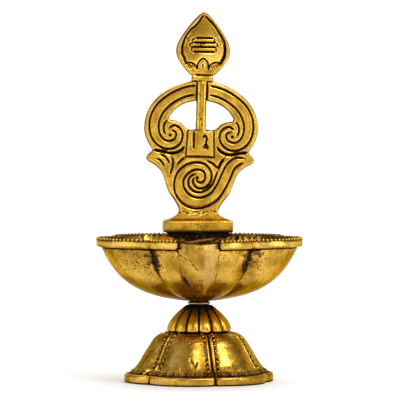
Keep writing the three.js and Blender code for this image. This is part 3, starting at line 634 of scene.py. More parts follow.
lip = BOWL_HEIGHT - LIP_DROP * (0.35 + 0.65 * to_keel(bearings))
to_spout_end = np.minimum(np.abs(bearings - SPOUT_LEFT), np.abs(bearings - SPOUT_RIGHT)) * WALL_RADIUS
band_seams = 0.75 * hump(to_spout_end, 0.5) + 0.2 * hump(from_crease * WALL_RADIUS, 0.5)
for proud, rise, shade in band:
    outside = bowl_place(bearings, WALL_RADIUS + proud, WALL_HEIGHT + rise)
    climb = min(1.0, rise / (BAND_HEIGHT - BAND_ROUND))
    pull = max(0.0, BAND_PROUD - BAND_ROUND - proud) if rise > 2.0 else 0.0
    spout = bowl_place(bearings, WALL_RADIUS - pull, WALL_HEIGHT + climb * (lip - WALL_HEIGHT))
    bowl_ring(np.where(in_spout[:, None], spout, outside),
              np.where(in_spout, smoothstep(climb, 0.78, 0.92), shade) + band_seams, facet_light_and_shade(WALL_HEIGHT))
print("band and lip rings:", len(band))

# %% Inside of the bowl
inner_curve = wall_curve + WALL * inward(wall_curve)
inner_curve = inner_curve[inner_curve[:, 1] > FLOOR + 0.05][:-1:2]
inner_edge = np.where(in_spout, lip - 0.3, BOWL_HEIGHT - 0.02)
light_weaker_right = 1 - 0.55 * smoothstep(np.sin(bearings), 0.05, 0.4)
bowl_ring(bowl_place(bearings, WALL_RADIUS - WALL + 0.4, inner_edge), 0.5)
for radius, height in inner_curve[::-1]:
    rough = lumps(bowl_place(bearings, radius, np.minimum(height, lip - 0.8)), 1.5, 0.55)
    # The upper inside wall is lighter, more so on the left: painted light where the lights reach into the
    # bowl.
    painted_light_top = 0.8 * smoothstep(height, 0.6 * WALL_HEIGHT, 0.9 * WALL_HEIGHT) * light_weaker_right
    near_rim = smoothstep(height, 0.45 * WALL_HEIGHT, 0.8 * WALL_HEIGHT)
    shade = 0.8 - 0.15 * near_rim + (0.55 + 0.75 * near_rim) * lumpy(rough, 1.5) - painted_light_top
    bowl_ring(rough, shade, pits=1.0)
for radius in (10.6, BORE):
    bowl_ring(at_bearing(bearings + BOWL_TURN, radius, FLOOR), 0.9)
add_piece("lamp_bowl", np.concatenate(rings) + [0, 0, BOWL_BASE], ring_faces(len(rings), len(bearings)),
          bowl_brass, "polished_brass", ["bowl"], np.concatenate(shades), sharp=32,
          tone=np.concatenate(tones), pitting=np.concatenate(pitting))

# %% [markdown]
# The rim's pearls
#
# A row of small pearls was punched along the band's upper edge, and the patina between them shows
# as dark dashes. A pearl is the same shape a hundred times on a path, which is what Geometry Nodes
# do best. The tree below turns a line into a curve, spaces points along it and puts a small ball on
# each, a little uneven in size as handwork is. The foot's pearls use the same tree.

# %% Tools for node trees
def node_inputs(tree, sockets):
    """Name a tree's inputs, between the geometry that comes in and the geometry that goes out."""
    tree.interface.new_socket("Geometry", in_out="INPUT", socket_type="NodeSocketGeometry")
    for title, kind in sockets:
        tree.interface.new_socket(title, in_out="INPUT", socket_type="NodeSocket" + kind)
    tree.interface.new_socket("Geometry", in_out="OUTPUT", socket_type="NodeSocketGeometry")
    return tree.nodes.new("NodeGroupInput"), tree.nodes.new("NodeGroupOutput")


def finish_tree(tree, instances, given, result):
    """Every tree ends in real mesh with a material on it."""
    real, shown = tree.nodes.new("GeometryNodeRealizeInstances"), tree.nodes.new("GeometryNodeSetMaterial")
    tree.links.new(instances, real.inputs["Geometry"])
    tree.links.new(real.outputs["Geometry"], shown.inputs["Geometry"])
    tree.links.new(given.outputs["Material"], shown.inputs["Material"])
    tree.links.new(shown.outputs["Geometry"], result.inputs["Geometry"])


def grow(name, seed_mesh, tree, values):
    """Run a tree on a mesh and return the plain mesh that it makes."""
    holder = bpy.data.objects.new(name + "_seed", seed_mesh)
    bpy.context.collection.objects.link(holder)
    modifier = holder.modifiers.new("grow", "NODES")
    modifier.node_group = tree
    sockets = {item.name: item.identifier for item in tree.interface.items_tree if item.in_out == "INPUT"}
    for title, value in values.items():
        modifier[sockets[title]] = value
    graph = bpy.context.evaluated_depsgraph_get()
    made = bpy.data.meshes.new_from_object(holder.evaluated_get(graph), preserve_all_data_layers=True,
                                           depsgraph=graph)
    bpy.data.objects.remove(holder)
    made.name = name
    return made


def line_mesh(name, lines):
    """Open lines of points in mm as a mesh of edges only."""
    mesh = bpy.data.meshes.new(name)
    starts = np.cumsum([0] + [len(line) for line in lines])
    edges = [(s + i, s + i + 1) for s, line in zip(starts, lines) for i in range(len(line) - 1)]
    mesh.from_pydata(((np.concatenate(lines) + AXIS) * MM).tolist(), edges, [])
    return mesh


print("a tree grows on a mesh and becomes a plain mesh")

# %% Pearls along a line
PEARL_SIDES, PEARL_RINGS = 10, 7
PEARL_UNEVENNESS, PEARL_SEED = 0.14, 7


def pearl_tree():
    """Small balls, uneven in size, at an even spacing on lines."""
    tree = bpy.data.node_groups.new("pearls on a line", "GeometryNodeTree")
    sockets = [("Pearl radius", "Float"), ("Spacing", "Float"), ("Unevenness", "Float"), ("Seed", "Int"),
               ("Material", "Material")]
    given, result = node_inputs(tree, sockets)
    make, link = tree.nodes.new, tree.links.new
    curve, spaced = make("GeometryNodeMeshToCurve"), make("GeometryNodeResampleCurve")
    spaced.mode = "LENGTH"
    link(given.outputs["Geometry"], curve.inputs["Mesh"])
    link(curve.outputs["Curve"], spaced.inputs["Curve"])
    link(given.outputs["Spacing"], spaced.inputs["Length"])
    ball = make("GeometryNodeMeshUVSphere")
    ball.inputs["Segments"].default_value = PEARL_SIDES
    ball.inputs["Rings"].default_value = PEARL_RINGS
    link(given.outputs["Pearl radius"], ball.inputs["Radius"])
    smallest = make("ShaderNodeMath")
    smallest.operation = "SUBTRACT"
    smallest.inputs[0].default_value = 1.0
    link(given.outputs["Unevenness"], smallest.inputs[1])
    scale = make("FunctionNodeRandomValue")
    link(smallest.outputs["Value"], scale.inputs[2])
    scale.inputs[3].default_value = 1.0
    link(given.outputs["Seed"], scale.inputs["Seed"])
    placed = make("GeometryNodeInstanceOnPoints")
    link(spaced.outputs["Curve"], placed.inputs["Points"])
    link(ball.outputs["Mesh"], placed.inputs["Instance"])
    link(scale.outputs[1], placed.inputs["Scale"])
    finish_tree(tree, placed.outputs["Instances"], given, result)
    return tree


pearls_on_a_line = pearl_tree()
print("tree:", pearls_on_a_line.name, "with", len(pearls_on_a_line.nodes), "nodes")

# %% Rim pearls
PEARL_PITCH, PEARL_RADIUS = 2.25, 0.68


def pearl_rows(name, lines, radius, pitch, out_of_surface, material, sunk=0.35):
    """Pearls on lines; a pearl is bright on its crown and dark where it meets the casting. sunk is
    the share of the radius at which the patina ends."""
    values = {"Pearl radius": radius * MM, "Spacing": pitch * MM, "Unevenness": PEARL_UNEVENNESS,
              "Seed": PEARL_SEED, "Material": material}
    mesh = grow(name, line_mesh(name + "_lines", lines), pearls_on_a_line, values)
    mesh.polygons.foreach_set("use_smooth", [True] * len(mesh.polygons))
    samples = np.concatenate(lines)
    finder = kdtree.KDTree(len(samples))
    for index, sample in enumerate(samples):
        finder.insert(sample, index)
    finder.balance()
    shade = []
    for vertex in mesh.vertices:
        point = np.array(vertex.co) / MM - AXIS
        _, index, _ = finder.find(point)
        rise = float(np.dot(point - samples[index], out_of_surface(samples[index]))) / radius
        shade.append(1 - smoothstep(rise, -0.1, sunk))
    layer = mesh.attributes.new("patina_and_light", "FLOAT", "POINT")
    layer.data.foreach_set("value", np.array(shade, dtype=np.float32))
    return claim(bpy.data.objects.new(name, mesh), [])


rim_bearings = np.linspace(SPOUT_RIGHT + 0.02, 2 * math.pi + SPOUT_LEFT - 0.02, 1500)
rim_line = bowl_place(rim_bearings, WALL_RADIUS + BAND_PROUD - 0.5, BOWL_HEIGHT - 0.12)
rim_line = rim_line + [0, 0, BOWL_BASE]


def out_of_rim(point):
    """The way that a rim pearl faces: outwards, and nearly as much upwards."""
    return np.array([0.75 * point[0] / 52, 0.75 * point[1] / 52, 0.66])


pearl_rows("rim_pearls", [rim_line], PEARL_RADIUS, PEARL_PITCH, out_of_rim, polished_brass)

# %% [markdown]
# The foot
#
# The foot is a hollow bell of six round petals on a raised band. Each crease is a fine dark line
# between two smooth beads, and outside each bead runs a row of pearls, with one more row above the
# band. It could be modelled as one petal and mirrored, but then every petal would wear alike. It is
# swept round the axis like the bowl, with its columns crowded at the creases so that the line and
# the beads are real relief and catch the light.

# %% Foot sizes
FOOT_PETALS = 6
FOOT_RADIUS, BAND_CREASE, BELL_CREASE = 37.7, 34.6 / 37.7, 0.865
FOOT_TURN = math.radians(14)
FOOT_TOP = level("foot", 1)
FOOT_BAND, FOOT_PROUD, FOOT_WALL = 4.6, 2.5, 2.6
FOOT_NECK = 16.0
BELL_FOOT = FOOT_RADIUS - FOOT_PROUD

bell_shares = [(0, 0), (0.2, 0.2), (0.37, 0.46), (0.5, 0.66), (0.64, 0.85), (0.79, 0.96), (1, 1)]
bell = spline([(BELL_FOOT + (FOOT_NECK - BELL_FOOT) * s, FOOT_BAND + (FOOT_TOP - FOOT_BAND) * t)
               for s, t in bell_shares], 0.55)
foot_creases = [FOOT_TURN + petal * 2 * math.pi / FOOT_PETALS for petal in range(FOOT_PETALS)]
crease_steps = np.array([0, 0.15, 0.3, 0.45, 0.65, 0.9, 1.2, 1.5, 1.75, 1.95, 2.15, 2.5, 3.0, 3.6]) / 34
SCRATCH_RADIUS, SCRATCH = 33, [(-0.142, 12.7), (-0.058, 9.1), (-0.03, 11.3)]
crowds = [(crease, crease_steps) for crease in foot_creases] + [(-0.09, np.linspace(0, 0.08, 9))]
foot_bearings = crowded_bearings(crowds, 190)


def from_foot_crease(bearing):
    """Angle from a bearing to the nearest crease."""
    turn = (np.asarray(bearing) - FOOT_TURN) * FOOT_PETALS / (2 * math.pi)
    return np.abs(turn - np.round(turn)) * 2 * math.pi / FOOT_PETALS


def foot_place(bearing, radius, height, lift=0.0):
    """Points of the foot at a radius and height, in petals whose creases deepen on the bell."""
    crease = BAND_CREASE + (BELL_CREASE - BAND_CREASE) * smoothstep(height, FOOT_BAND - 0.1, FOOT_BAND + 3)
    petal = lobe_radius(bearing - FOOT_TURN + math.pi / FOOT_PETALS, FOOT_PETALS, 1.0, crease)
    lobing = smoothstep(radius, 0.5 * FOOT_NECK, FOOT_NECK)
    return at_bearing(bearing, radius * (1 + (petal - 1) * lobing) + lift, height)


print("foot columns:", len(foot_bearings), "bell rings:", len(bell))

# %% Raised band of the foot
crease_gap = from_foot_crease(foot_bearings)
foot_rings, foot_shades, foot_pits = [], [], []


def foot_ring(radius, height, lift=0.0, shade=0.0, pits=0.0):
    """Keep one ring of the foot, with its patina and pitting at every point."""
    foot_rings.append(foot_place(foot_bearings, radius, height, lift))
    foot_shades.append(shade + 0 * foot_bearings)
    foot_pits.append(pits + 0 * foot_bearings)


inside_foot = BELL_FOOT - FOOT_WALL
foot_ring(inside_foot, 0.0, shade=0.7)
nick = 1.1 * hump(crease_gap * FOOT_RADIUS, 0.75)
# A row is the inset, the height and the patina. The lowest rows are black: a painted contact shadow where the
# band stands on the floor.
band_rows = [(0.9, 0.0, 1), (0.25, 0.08, 1), (0.05, 0.55, 0.95), (0, 0.85, 0.2), (0, 1.6, -0.2),
             (0, 2.4, -0.2), (0, 3.0, -0.2), (0.05, 3.5, -0.2), (0.25, 3.95, -0.3), (0.6, 4.3, 0),
             (1.1, 4.5, 0.1), (1.7, 4.45, 0.5), (2.2, 4.4, 0.9)]
for inset, height, shade in band_rows:
    foot_ring(FOOT_RADIUS - inset, height, -nick * (inset < 2), shade + 0.8 * nick)
print("band rings:", len(foot_rings))

# %% Bell of the foot
LINE_HALF, BEAD_MIDDLE, BEAD_HALF, PEARL_ASIDE = 0.42, 1.15, 0.85, 2.8
PEARL_ARC, PEARL_STEP = 5.6, 2.65
climbed = np.concatenate([[0], np.cumsum(np.linalg.norm(np.diff(bell, axis=0), axis=1))])
with_pearls = (bell[:, 1] > PEARL_ARC + 1.2) & (bell[:, 0] > FOOT_NECK + 1.2)
climbed -= climbed[with_pearls][0]
scratch_line = even(np.array([(bearing * SCRATCH_RADIUS, height) for bearing, height in SCRATCH]), 0.15)
hem_grain = patches(14 * foot_bearings, 0.0, 4.0)
line_half = LINE_HALF * (1 + 0.5 * np.abs(np.sin(foot_bearings)))
for (radius, height), climb in zip(bell, climbed):
    aside = crease_gap * radius
    fade = smoothstep(radius, FOOT_NECK - 0.5, FOOT_NECK + 2)
    bead = np.clip(1 - ((aside - BEAD_MIDDLE) / BEAD_HALF) ** 2, 0, 1)
    line = hump(aside, line_half)
    beside = hump(aside - BEAD_MIDDLE - BEAD_HALF, 0.22)
    row = hump(aside - PEARL_ASIDE, 0.7) * (0.75 - 0.45 * math.cos(2 * math.pi * climb / PEARL_STEP))
    arc = (0.42 + 0.7 * hem_grain) * float(1 - smoothstep(height, PEARL_ARC, PEARL_ARC + 1.8))
    top = hump(FOOT_TOP - height, 0.5) if radius < FOOT_NECK + 1.5 else 0.0
    scratch = hump(to_drawn_line(foot_bearings, SCRATCH_RADIUS, height, scratch_line), 0.38)
    relief = fade * (0.45 * bead - 0.8 * line - 0.2 * beside) - 0.4 * scratch
    shade = fade * (1.2 * line - 0.5 * bead**3 + 0.35 * beside + 1.15 * np.maximum(row, arc))
    shade += 0.85 * scratch + 0.8 * hump(height - FOOT_BAND, 0.3) + top
    pits = 1.1 * smoothstep(-height, -14, -5) + 0.7 * smoothstep(height, 16, 22)
    pits += smoothstep(np.abs(foot_bearings), 0.4, 0.8) * smoothstep(-height, -20, -8)
    foot_ring(radius, height, relief, shade, pits)
print("band and bell rings:", len(foot_rings))

# %% Inside of the foot
for radius in (13.0, 9.0, BORE):
    foot_ring(radius, FOOT_TOP, shade=0.8)
foot_ring(BORE, FOOT_TOP - FOOT_WALL, shade=0.7)
bell_inside = bell[::3] + FOOT_WALL * inward(bell)[::3]
for radius, height in bell_inside[::-1]:
    if radius < inside_foot and height < FOOT_TOP - FOOT_WALL + 0.01:
        foot_ring(radius, height, shade=0.7)
# Olive and pale bands at given bearings round the foot: painted shade and painted light on the sides turned
# from or towards the lights.
painted_side_light = [(-0.2, 0.4, 0.12), (0.75, 0.5, 0.3), (-0.5, -0.45, 0.2), (-1.25, 0.5, 0.3)]
painted_side_tone = sum(share * hump(foot_bearings - bearing, wide) for bearing, share, wide in painted_side_light)
foot_points = np.concatenate(foot_rings)
mottle = 0.9 + 1.3 * lumpy(foot_points, 1.7) + 0.9 * lumpy(foot_points, 5.0)
add_piece("lamp_foot", foot_points, ring_faces(len(foot_rings), len(foot_bearings)), foot_brass,
          "polished_brass", ["foot"], np.concatenate(foot_shades), sharp=50,
          tone=np.tile(painted_side_tone, len(foot_rings)) * mottle, pitting=np.concatenate(foot_pits))

# %% Foot pearls
FOOT_PEARL_RADIUS, HEM_PEARL_RADIUS, HEM_PEARL_STEP, HEM_GAP = 0.66, 0.5, 2.1, 2.6
lines, arcs = [], []
for crease in foot_creases:
    climb = bell[with_pearls]
    for side in (-1, 1):
        aside = side * PEARL_ASIDE / climb[:, 0]
        lines.append(foot_place(crease + aside, climb[:, 0], climb[:, 1]))
    radius = float(np.interp(PEARL_ARC, bell[:, 1], bell[:, 0]))
    around = np.linspace(HEM_GAP / radius, 2 * math.pi / FOOT_PETALS - HEM_GAP / radius, 120)
    arcs.append(foot_place(crease + around, radius, PEARL_ARC, -0.15))


def out_of_bell(point):
    """The way that a pearl on the bell faces: outwards and a little upwards."""
    away = np.array([0.8 * point[0], 0.8 * point[1], 18.0])
    return away / np.linalg.norm(away)


pearl_rows("foot_pearls", lines, FOOT_PEARL_RADIUS, PEARL_STEP, out_of_bell, polished_brass)
pearl_rows("foot_hem_pearls", arcs, HEM_PEARL_RADIUS, HEM_PEARL_STEP, out_of_bell, aged_brass,
           sunk=0.8)

# %% [markdown]
# The ribbed dome and the collar
#
# Between foot and bowl sits a dome of fourteen round ribs that narrow to points. Swept like the
# bowl, its flutes would be shallow waves. So one rib is drawn as a tube with a rounded foot and a
# pointed top, and a tree copies it round the axis on a dark core: every flute between two ribs is
# a real gap. The collar above is a plain turned bead.

# %% Lathe helper
def turned_piece(name, profile, material, slot, replaced, base=0.0, columns=96, sharp=35.0):
    """A piece turned on the lathe from (radius, height, patina) rows, bore at both ends."""
    around = np.linspace(0, 2 * math.pi, columns, endpoint=False)
    points = np.concatenate([at_bearing(around, row[0], row[1] + base) for row in profile])
    shade = np.repeat([row[2] for row in profile], columns)
    return add_piece(name, points, ring_faces(len(profile), columns), material, slot, replaced, shade, sharp)


print("lathe ready")

# %% Dome core
DOME_RIBS = 14
DOME_BASE, DOME_TOP = level("fluted_dome", 0), level("fluted_dome", 1)
DOME_HEIGHT = DOME_TOP - DOME_BASE
DOME_RADIUS, DOME_NECK, DOME_ROUND = 16.0, 6.3, 1.3
DOME_CURVE = 1.7
RIB_DEPTH = 0.16
RIB_SIDES, RIB_FOOT_END, RIB_POINT_FROM = 24, 0.045, 0.88


def dome_radius(height):
    """Radius over the ribs at a height above the dome's underside."""
    share = np.clip((height - DOME_ROUND) / (DOME_HEIGHT - DOME_ROUND), 0, 1)
    return DOME_RADIUS - (DOME_RADIUS - DOME_NECK) * share**DOME_CURVE


core_heights = np.linspace(0.2, DOME_HEIGHT, 30)
core = [(BORE, 0.0, 1.0), (0.8 * DOME_RADIUS, 0.0, 1.0)]
core += [(dome_radius(h) * (1 - 0.95 * RIB_DEPTH), h, 1.0) for h in core_heights]
core += [(BORE, DOME_HEIGHT, 1.0)]
turned_piece("dome_core", core, aged_brass, "aged_brass", ["fluted_dome"], DOME_BASE)

# %% One rib
def rib_mesh():
    """The rib at the front, from its rounded foot to its pointed top."""
    shares = np.concatenate([[0.0, 0.02, 0.05, 0.09, 0.14], np.linspace(0.2, 0.96, 34), [0.985, 1.0]])
    turn = np.linspace(0, 2 * math.pi, RIB_SIDES, endpoint=False)
    points, shade = [], []
    for share in shares:
        height = 0.1 + share * (DOME_HEIGHT - 0.15)
        crest = float(dome_radius(height))
        foot_end = math.sqrt(max(0.0, 1 - (1 - min(share / RIB_FOOT_END, 1.0)) ** 2))
        point_end = 1 - 0.75 * float(smoothstep(share, RIB_POINT_FROM, 1.0))
        flute = 0.6 + 1.0 * share
        half = (math.pi * crest / DOME_RIBS - flute / 2) * (0.25 + 0.75 * foot_end) * point_end
        deep = RIB_DEPTH * crest * (0.45 + 0.55 * foot_end) * (0.4 + 0.6 * point_end)
        crest -= 0.7 * (1 - foot_end)
        outward = crest - deep + deep * np.cos(turn)
        across = half * np.sign(np.sin(turn)) * np.abs(np.sin(turn)) ** 0.85
        points.append(np.stack([across, -outward, height + DOME_BASE + 0 * turn], axis=-1))
        shade.append(smoothstep(-np.cos(turn), -0.7, -0.15) + smoothstep(share, 0.82, 0.96))
    mesh = bpy.data.meshes.new("rib")
    faces = ring_faces(len(shares), RIB_SIDES, loop=False, caps=True)
    mesh.from_pydata((np.concatenate(points) * MM).tolist(), [], faces)
    layer = mesh.attributes.new("patina_and_light", "FLOAT", "POINT")
    layer.data.foreach_set("value", np.clip(np.concatenate(shade), 0, 1).astype(np.float32))
    mesh.polygons.foreach_set("use_smooth", [True] * len(mesh.polygons))
    return mesh


one_rib = rib_mesh()
print("rib faces:", len(one_rib.polygons))

# %% Ribs round the dome
def ring_tree():
    """Copies of a mesh, turned evenly round an upright axis."""
    tree = bpy.data.node_groups.new("copies round an axis", "GeometryNodeTree")
    given, result = node_inputs(tree, [("Copies", "Int"), ("First bearing", "Float"), ("Axis", "Vector"),
                                      ("Material", "Material")])
    make, link = tree.nodes.new, tree.links.new
    points = make("GeometryNodePoints")
    link(given.outputs["Copies"], points.inputs["Count"])
    link(given.outputs["Axis"], points.inputs["Position"])
    share, turn = make("ShaderNodeMath"), make("ShaderNodeMath")
    share.operation, turn.operation = "DIVIDE", "MULTIPLY"
    link(make("GeometryNodeInputIndex").outputs["Index"], share.inputs[0])
    link(given.outputs["Copies"], share.inputs[1])
    link(share.outputs["Value"], turn.inputs[0])
    turn.inputs[1].default_value = 2 * math.pi
    started = make("ShaderNodeMath")
    link(turn.outputs["Value"], started.inputs[0])
    link(given.outputs["First bearing"], started.inputs[1])
    rotation = make("ShaderNodeCombineXYZ")
    link(started.outputs["Value"], rotation.inputs["Z"])
    placed = make("GeometryNodeInstanceOnPoints")
    link(points.outputs["Points"], placed.inputs["Points"])
    link(given.outputs["Geometry"], placed.inputs["Instance"])
    link(rotation.outputs["Vector"], placed.inputs["Rotation"])
    finish_tree(tree, placed.outputs["Instances"], given, result)
    return tree


ribs = grow("dome_ribs", one_rib, ring_tree(),
            {"Copies": DOME_RIBS, "First bearing": math.pi / DOME_RIBS, "Axis": tuple(AXIS * MM),
             "Material": dome_brass})
ribs.polygons.foreach_set("use_smooth", [True] * len(ribs.polygons))
claim(bpy.data.objects.new("dome_ribs", ribs), ["fluted_dome"])

# %% Neck collar
COLLAR_BASE, COLLAR_TOP = level("neck_collar", 0), level("neck_collar", 1)
COLLAR_HEIGHT, COLLAR_RADIUS = COLLAR_TOP - COLLAR_BASE, 5.7
COLLAR_INSET = 1.2
collar = [(BORE, 0.0, 1.0), (COLLAR_RADIUS - COLLAR_INSET, 0.0, 1.0)]
for step in np.linspace(-0.5, 0.5, 13):
    round_in = 0.75 * (1 - math.sqrt(1 - (2 * step * 0.96) ** 2))
    collar.append((COLLAR_RADIUS - round_in, (0.5 + step) * COLLAR_HEIGHT, 1.2 * abs(2 * step) ** 4))
collar += [(COLLAR_RADIUS - COLLAR_INSET, COLLAR_HEIGHT, 1.0), (BORE, COLLAR_HEIGHT, 1.0)]
turned_piece("lamp_collar", collar, polished_brass, "polished_brass", ["neck_collar"], COLLAR_BASE)

# %% [markdown]
# The post, the seal and the rod that ties the lamp
#
# A turned post stands on a seal in the bowl and spreads into an oblong capital under the plaque.
# One steel rod runs from the plinth down through every piece to a washer and a nut in the hollow
# of the foot. Turned parts could be spun in Blender, but the capital isn't round, so the post is
# swept like the bowl, from a round section to a nearly square one. The fittings keep a simple zinc
# finish, which never shows from the front.

# %% Post
TOP_TURN = math.radians(5)
POST_BASE, POST_TOP = level("post", 0), level("post", 1)
POST_HEIGHT = POST_TOP - POST_BASE
CAPITAL_BASE = POST_HEIGHT - 4.2
ACROSS, DEEP, SHAFT = 31.0 / 2, 12.6 / 2, 4.9
BEAD = 0.4 * CAPITAL_BASE

# A row is half the width, half the depth, the height, how square the section is, and the patina.
# The capital's top rows are black: a painted shadow under the plinth.
post_rows = [
    (BORE, BORE, 0, 2, 1),
    (9, 9, 0, 2, 0.8),
    (9, 9, 1.6, 2, 0.2),
    (8.6, 8.6, 1.9, 2, 0.3),
    (6.3, 6.3, 2.6, 2, 0.7),
    (5.4, 5.4, 3.4, 2, 0.5),
    (SHAFT, SHAFT, 5, 2, 0.3),
    (SHAFT, SHAFT, BEAD - 1.7, 2, 0.5),
    (SHAFT + 0.9, SHAFT + 0.9, BEAD - 1, 2, 0.2),
    (SHAFT + 1.3, SHAFT + 1.3, BEAD, 2, 0),
    (SHAFT + 0.9, SHAFT + 0.9, BEAD + 1, 2, 0.2),
    (SHAFT, SHAFT, BEAD + 1.7, 2, 0.5),
    (SHAFT, SHAFT, 0.62 * CAPITAL_BASE, 2, 0.3),
    (SHAFT + 1, SHAFT, 0.7 * CAPITAL_BASE, 2, 0.3),
    (0.5 * ACROSS, 0.9 * DEEP, 0.86 * CAPITAL_BASE, 3, 0.4),
    (0.85 * ACROSS, DEEP, 0.97 * CAPITAL_BASE, 5, 0.6),
    (ACROSS - 3, DEEP - 0.1, CAPITAL_BASE + 1.4, 8, 0.4),
    (ACROSS - 0.6, DEEP, CAPITAL_BASE + 2.5, 8, 0.9),
    (ACROSS, DEEP, CAPITAL_BASE + 3, 8, 1),
    (ACROSS, DEEP, POST_HEIGHT - 0.5, 8, 1),
    (ACROSS - 0.4, DEEP - 0.4, POST_HEIGHT, 8, 1),
    (BORE, BORE, POST_HEIGHT, 2, 1),
]
POST_COLUMNS = 96
post_turn = np.linspace(0, 2 * math.pi, POST_COLUMNS, endpoint=False)


def oblong(half_width, half_depth, height, squareness):
    """A ring of the post: an ellipse at a squareness of 2, and nearly an oblong at 8."""
    sine, cosine, power = np.sin(post_turn), np.cos(post_turn), 2 / squareness
    return np.stack([half_width * np.sign(sine) * np.abs(sine) ** power,
                     -half_depth * np.sign(cosine) * np.abs(cosine) ** power, height + 0 * sine], axis=-1)


post_rings, post_patina_and_shadow = [oblong(*post_rows[0][:4])], [1.0]
for low, high in zip(post_rows[1:-1], post_rows[2:-1]):
    for share in (0.0, 0.34, 0.67):
        row = [a * (1 - share) + b * share for a, b in zip(low, high)]
        post_rings.append(oblong(*row[:4]))
        post_patina_and_shadow.append(row[4])
post_rings += [oblong(*post_rows[-2][:4]), oblong(*post_rows[-1][:4])]
post_patina_and_shadow += [0.8, 1.0]
post_points = np.concatenate(post_rings)
post_patina_and_shadow = np.repeat(post_patina_and_shadow, POST_COLUMNS)
post_patina_and_shadow = post_patina_and_shadow + 2.0 * lumpy(post_points, 0.9) * (post_patina_and_shadow < 0.85)
add_piece("lamp_post", turned(post_points, TOP_TURN) + [0, 0, POST_BASE],
          ring_faces(len(post_rings), POST_COLUMNS), aged_brass, "aged_brass", ["post"],
          np.clip(post_patina_and_shadow, 0, 1))

# %% Steel and fibre
GRAIN_DEPTH = 0.0003


def plain_finish(name, bright, dark, scale, metallic, rough, bump_share):
    """A finish of fine grain: zinc plate on the fittings, pressed fibre in the seal."""
    finish = Finish(name)
    grain = finish.texture("Noise", scale, 6.0)["Fac"]
    colour = finish.blend(finish.ramp(grain, 0.35, 0.7, course="LINEAR"), dark, bright)
    roughness = finish.ramp(grain, 0.0, 1.0, rough - 0.08, rough + 0.08, course="LINEAR")
    for socket, value in (("Base Color", colour), ("Metallic", metallic), ("Roughness", roughness)):
        finish.feed(finish.shader[socket], value)
    finish.bump(grain, bump_share, GRAIN_DEPTH)
    return finish.material


zinc = plain_finish("zinc_plate", (0.62, 0.62, 0.60), (0.40, 0.41, 0.42),
                    scale=260.0, metallic=1.0, rough=0.36, bump_share=0.2)
fibre = plain_finish("pressed_fibre", (0.10, 0.065, 0.045), (0.045, 0.03, 0.022),
                     scale=700.0, metallic=0.0, rough=0.85, bump_share=0.6)
print("finishes:", zinc.name, fibre.name)

# %% Seal, washer and nut
SEAL_BASE, SEAL_TOP = level("bowl_seal", 0), level("bowl_seal", 1)
seal_height = SEAL_TOP - SEAL_BASE
swell = [(9.25 + 0.35 * math.sin(math.pi * s), s * seal_height, 0) for s in np.linspace(0.02, 0.98, 9)]
seal_rows = [(BORE, 0, 0), (9.0, 0, 0), *swell, (9.0, seal_height, 0), (BORE, seal_height, 0)]
turned_piece("bowl_seal_ring", seal_rows, fibre, "seal_rubber", ["bowl_seal"], SEAL_BASE)


def same_at_top(side, height):
    """A side of (radius, height) points that ends at its top as it begins at its foot."""
    return side + [(radius, height - up) for radius, up in reversed(side)]


WASHER_BASE, WASHER_TOP = level("foot_washer", 0), level("foot_washer", 1)
washer_side = same_at_top([(BORE + 0.1, 0), (7.7, 0), (7.95, 0.12), (8.0, 0.3)], WASHER_TOP - WASHER_BASE)
turned_piece("washer_ring", [(radius, up, 0) for radius, up in washer_side], zinc, "steel",
             ["foot_washer"], WASHER_BASE)

NUT_BASE, NUT_HEIGHT, NUT_HALF, NUT_COLUMNS = level("foot_nut", 0), 4.0, 4.5, 96
nut_turn = np.linspace(0, 2 * math.pi, NUT_COLUMNS, endpoint=False)
flat_turn = (nut_turn + math.pi / 6) % (math.pi / 3) - math.pi / 6
hexagon = NUT_HALF / np.cos(flat_turn)
nut_side = same_at_top([(BORE + 0.5, 0), (4.4, 0), (4.75, 0.2), (5.2, 0.55)], NUT_HEIGHT)
nut_rings = [at_bearing(nut_turn, np.minimum(hexagon, radius), up + NUT_BASE) for radius, up in nut_side]
add_piece("rod_nut", np.concatenate(nut_rings), ring_faces(len(nut_rings), NUT_COLUMNS), zinc, "steel",
          ["foot_nut"], sharp=25)

# %% A thread round a rod
def thread_tree():
    """A four-sided ridge wound round the rod from its low end."""
    tree = bpy.data.node_groups.new("thread round a rod", "GeometryNodeTree")
    sockets = [("Turns", "Float"), ("Root radius", "Float"), ("Length", "Float"), ("Ridge", "Float"),
               ("Low end", "Vector"), ("Material", "Material")]
    given, result = node_inputs(tree, sockets)
    make, link = tree.nodes.new, tree.links.new
    helix, section = make("GeometryNodeCurveSpiral"), make("GeometryNodeCurvePrimitiveCircle")
    helix.inputs["Resolution"].default_value = 36
    section.inputs["Resolution"].default_value = 4
    link(given.outputs["Turns"], helix.inputs["Rotations"])
    link(given.outputs["Root radius"], helix.inputs["Start Radius"])
    link(given.outputs["Root radius"], helix.inputs["End Radius"])
    link(given.outputs["Length"], helix.inputs["Height"])
    link(given.outputs["Ridge"], section.inputs["Radius"])
    sweep_along = make("GeometryNodeCurveToMesh")
    sweep_along.inputs["Fill Caps"].default_value = True
    link(helix.outputs["Curve"], sweep_along.inputs["Curve"])
    link(section.outputs["Curve"], sweep_along.inputs["Profile Curve"])
    moved, joined = make("GeometryNodeSetPosition"), make("GeometryNodeJoinGeometry")
    link(sweep_along.outputs["Mesh"], moved.inputs["Geometry"])
    link(given.outputs["Low end"], moved.inputs["Offset"])
    link(moved.outputs["Geometry"], joined.inputs["Geometry"])
    link(given.outputs["Geometry"], joined.inputs["Geometry"])
    finish_tree(tree, joined.outputs["Geometry"], given, result)
    return tree


thread_round_a_rod = thread_tree()
print("tree:", thread_round_a_rod.name, "with", len(thread_round_a_rod.nodes), "nodes")

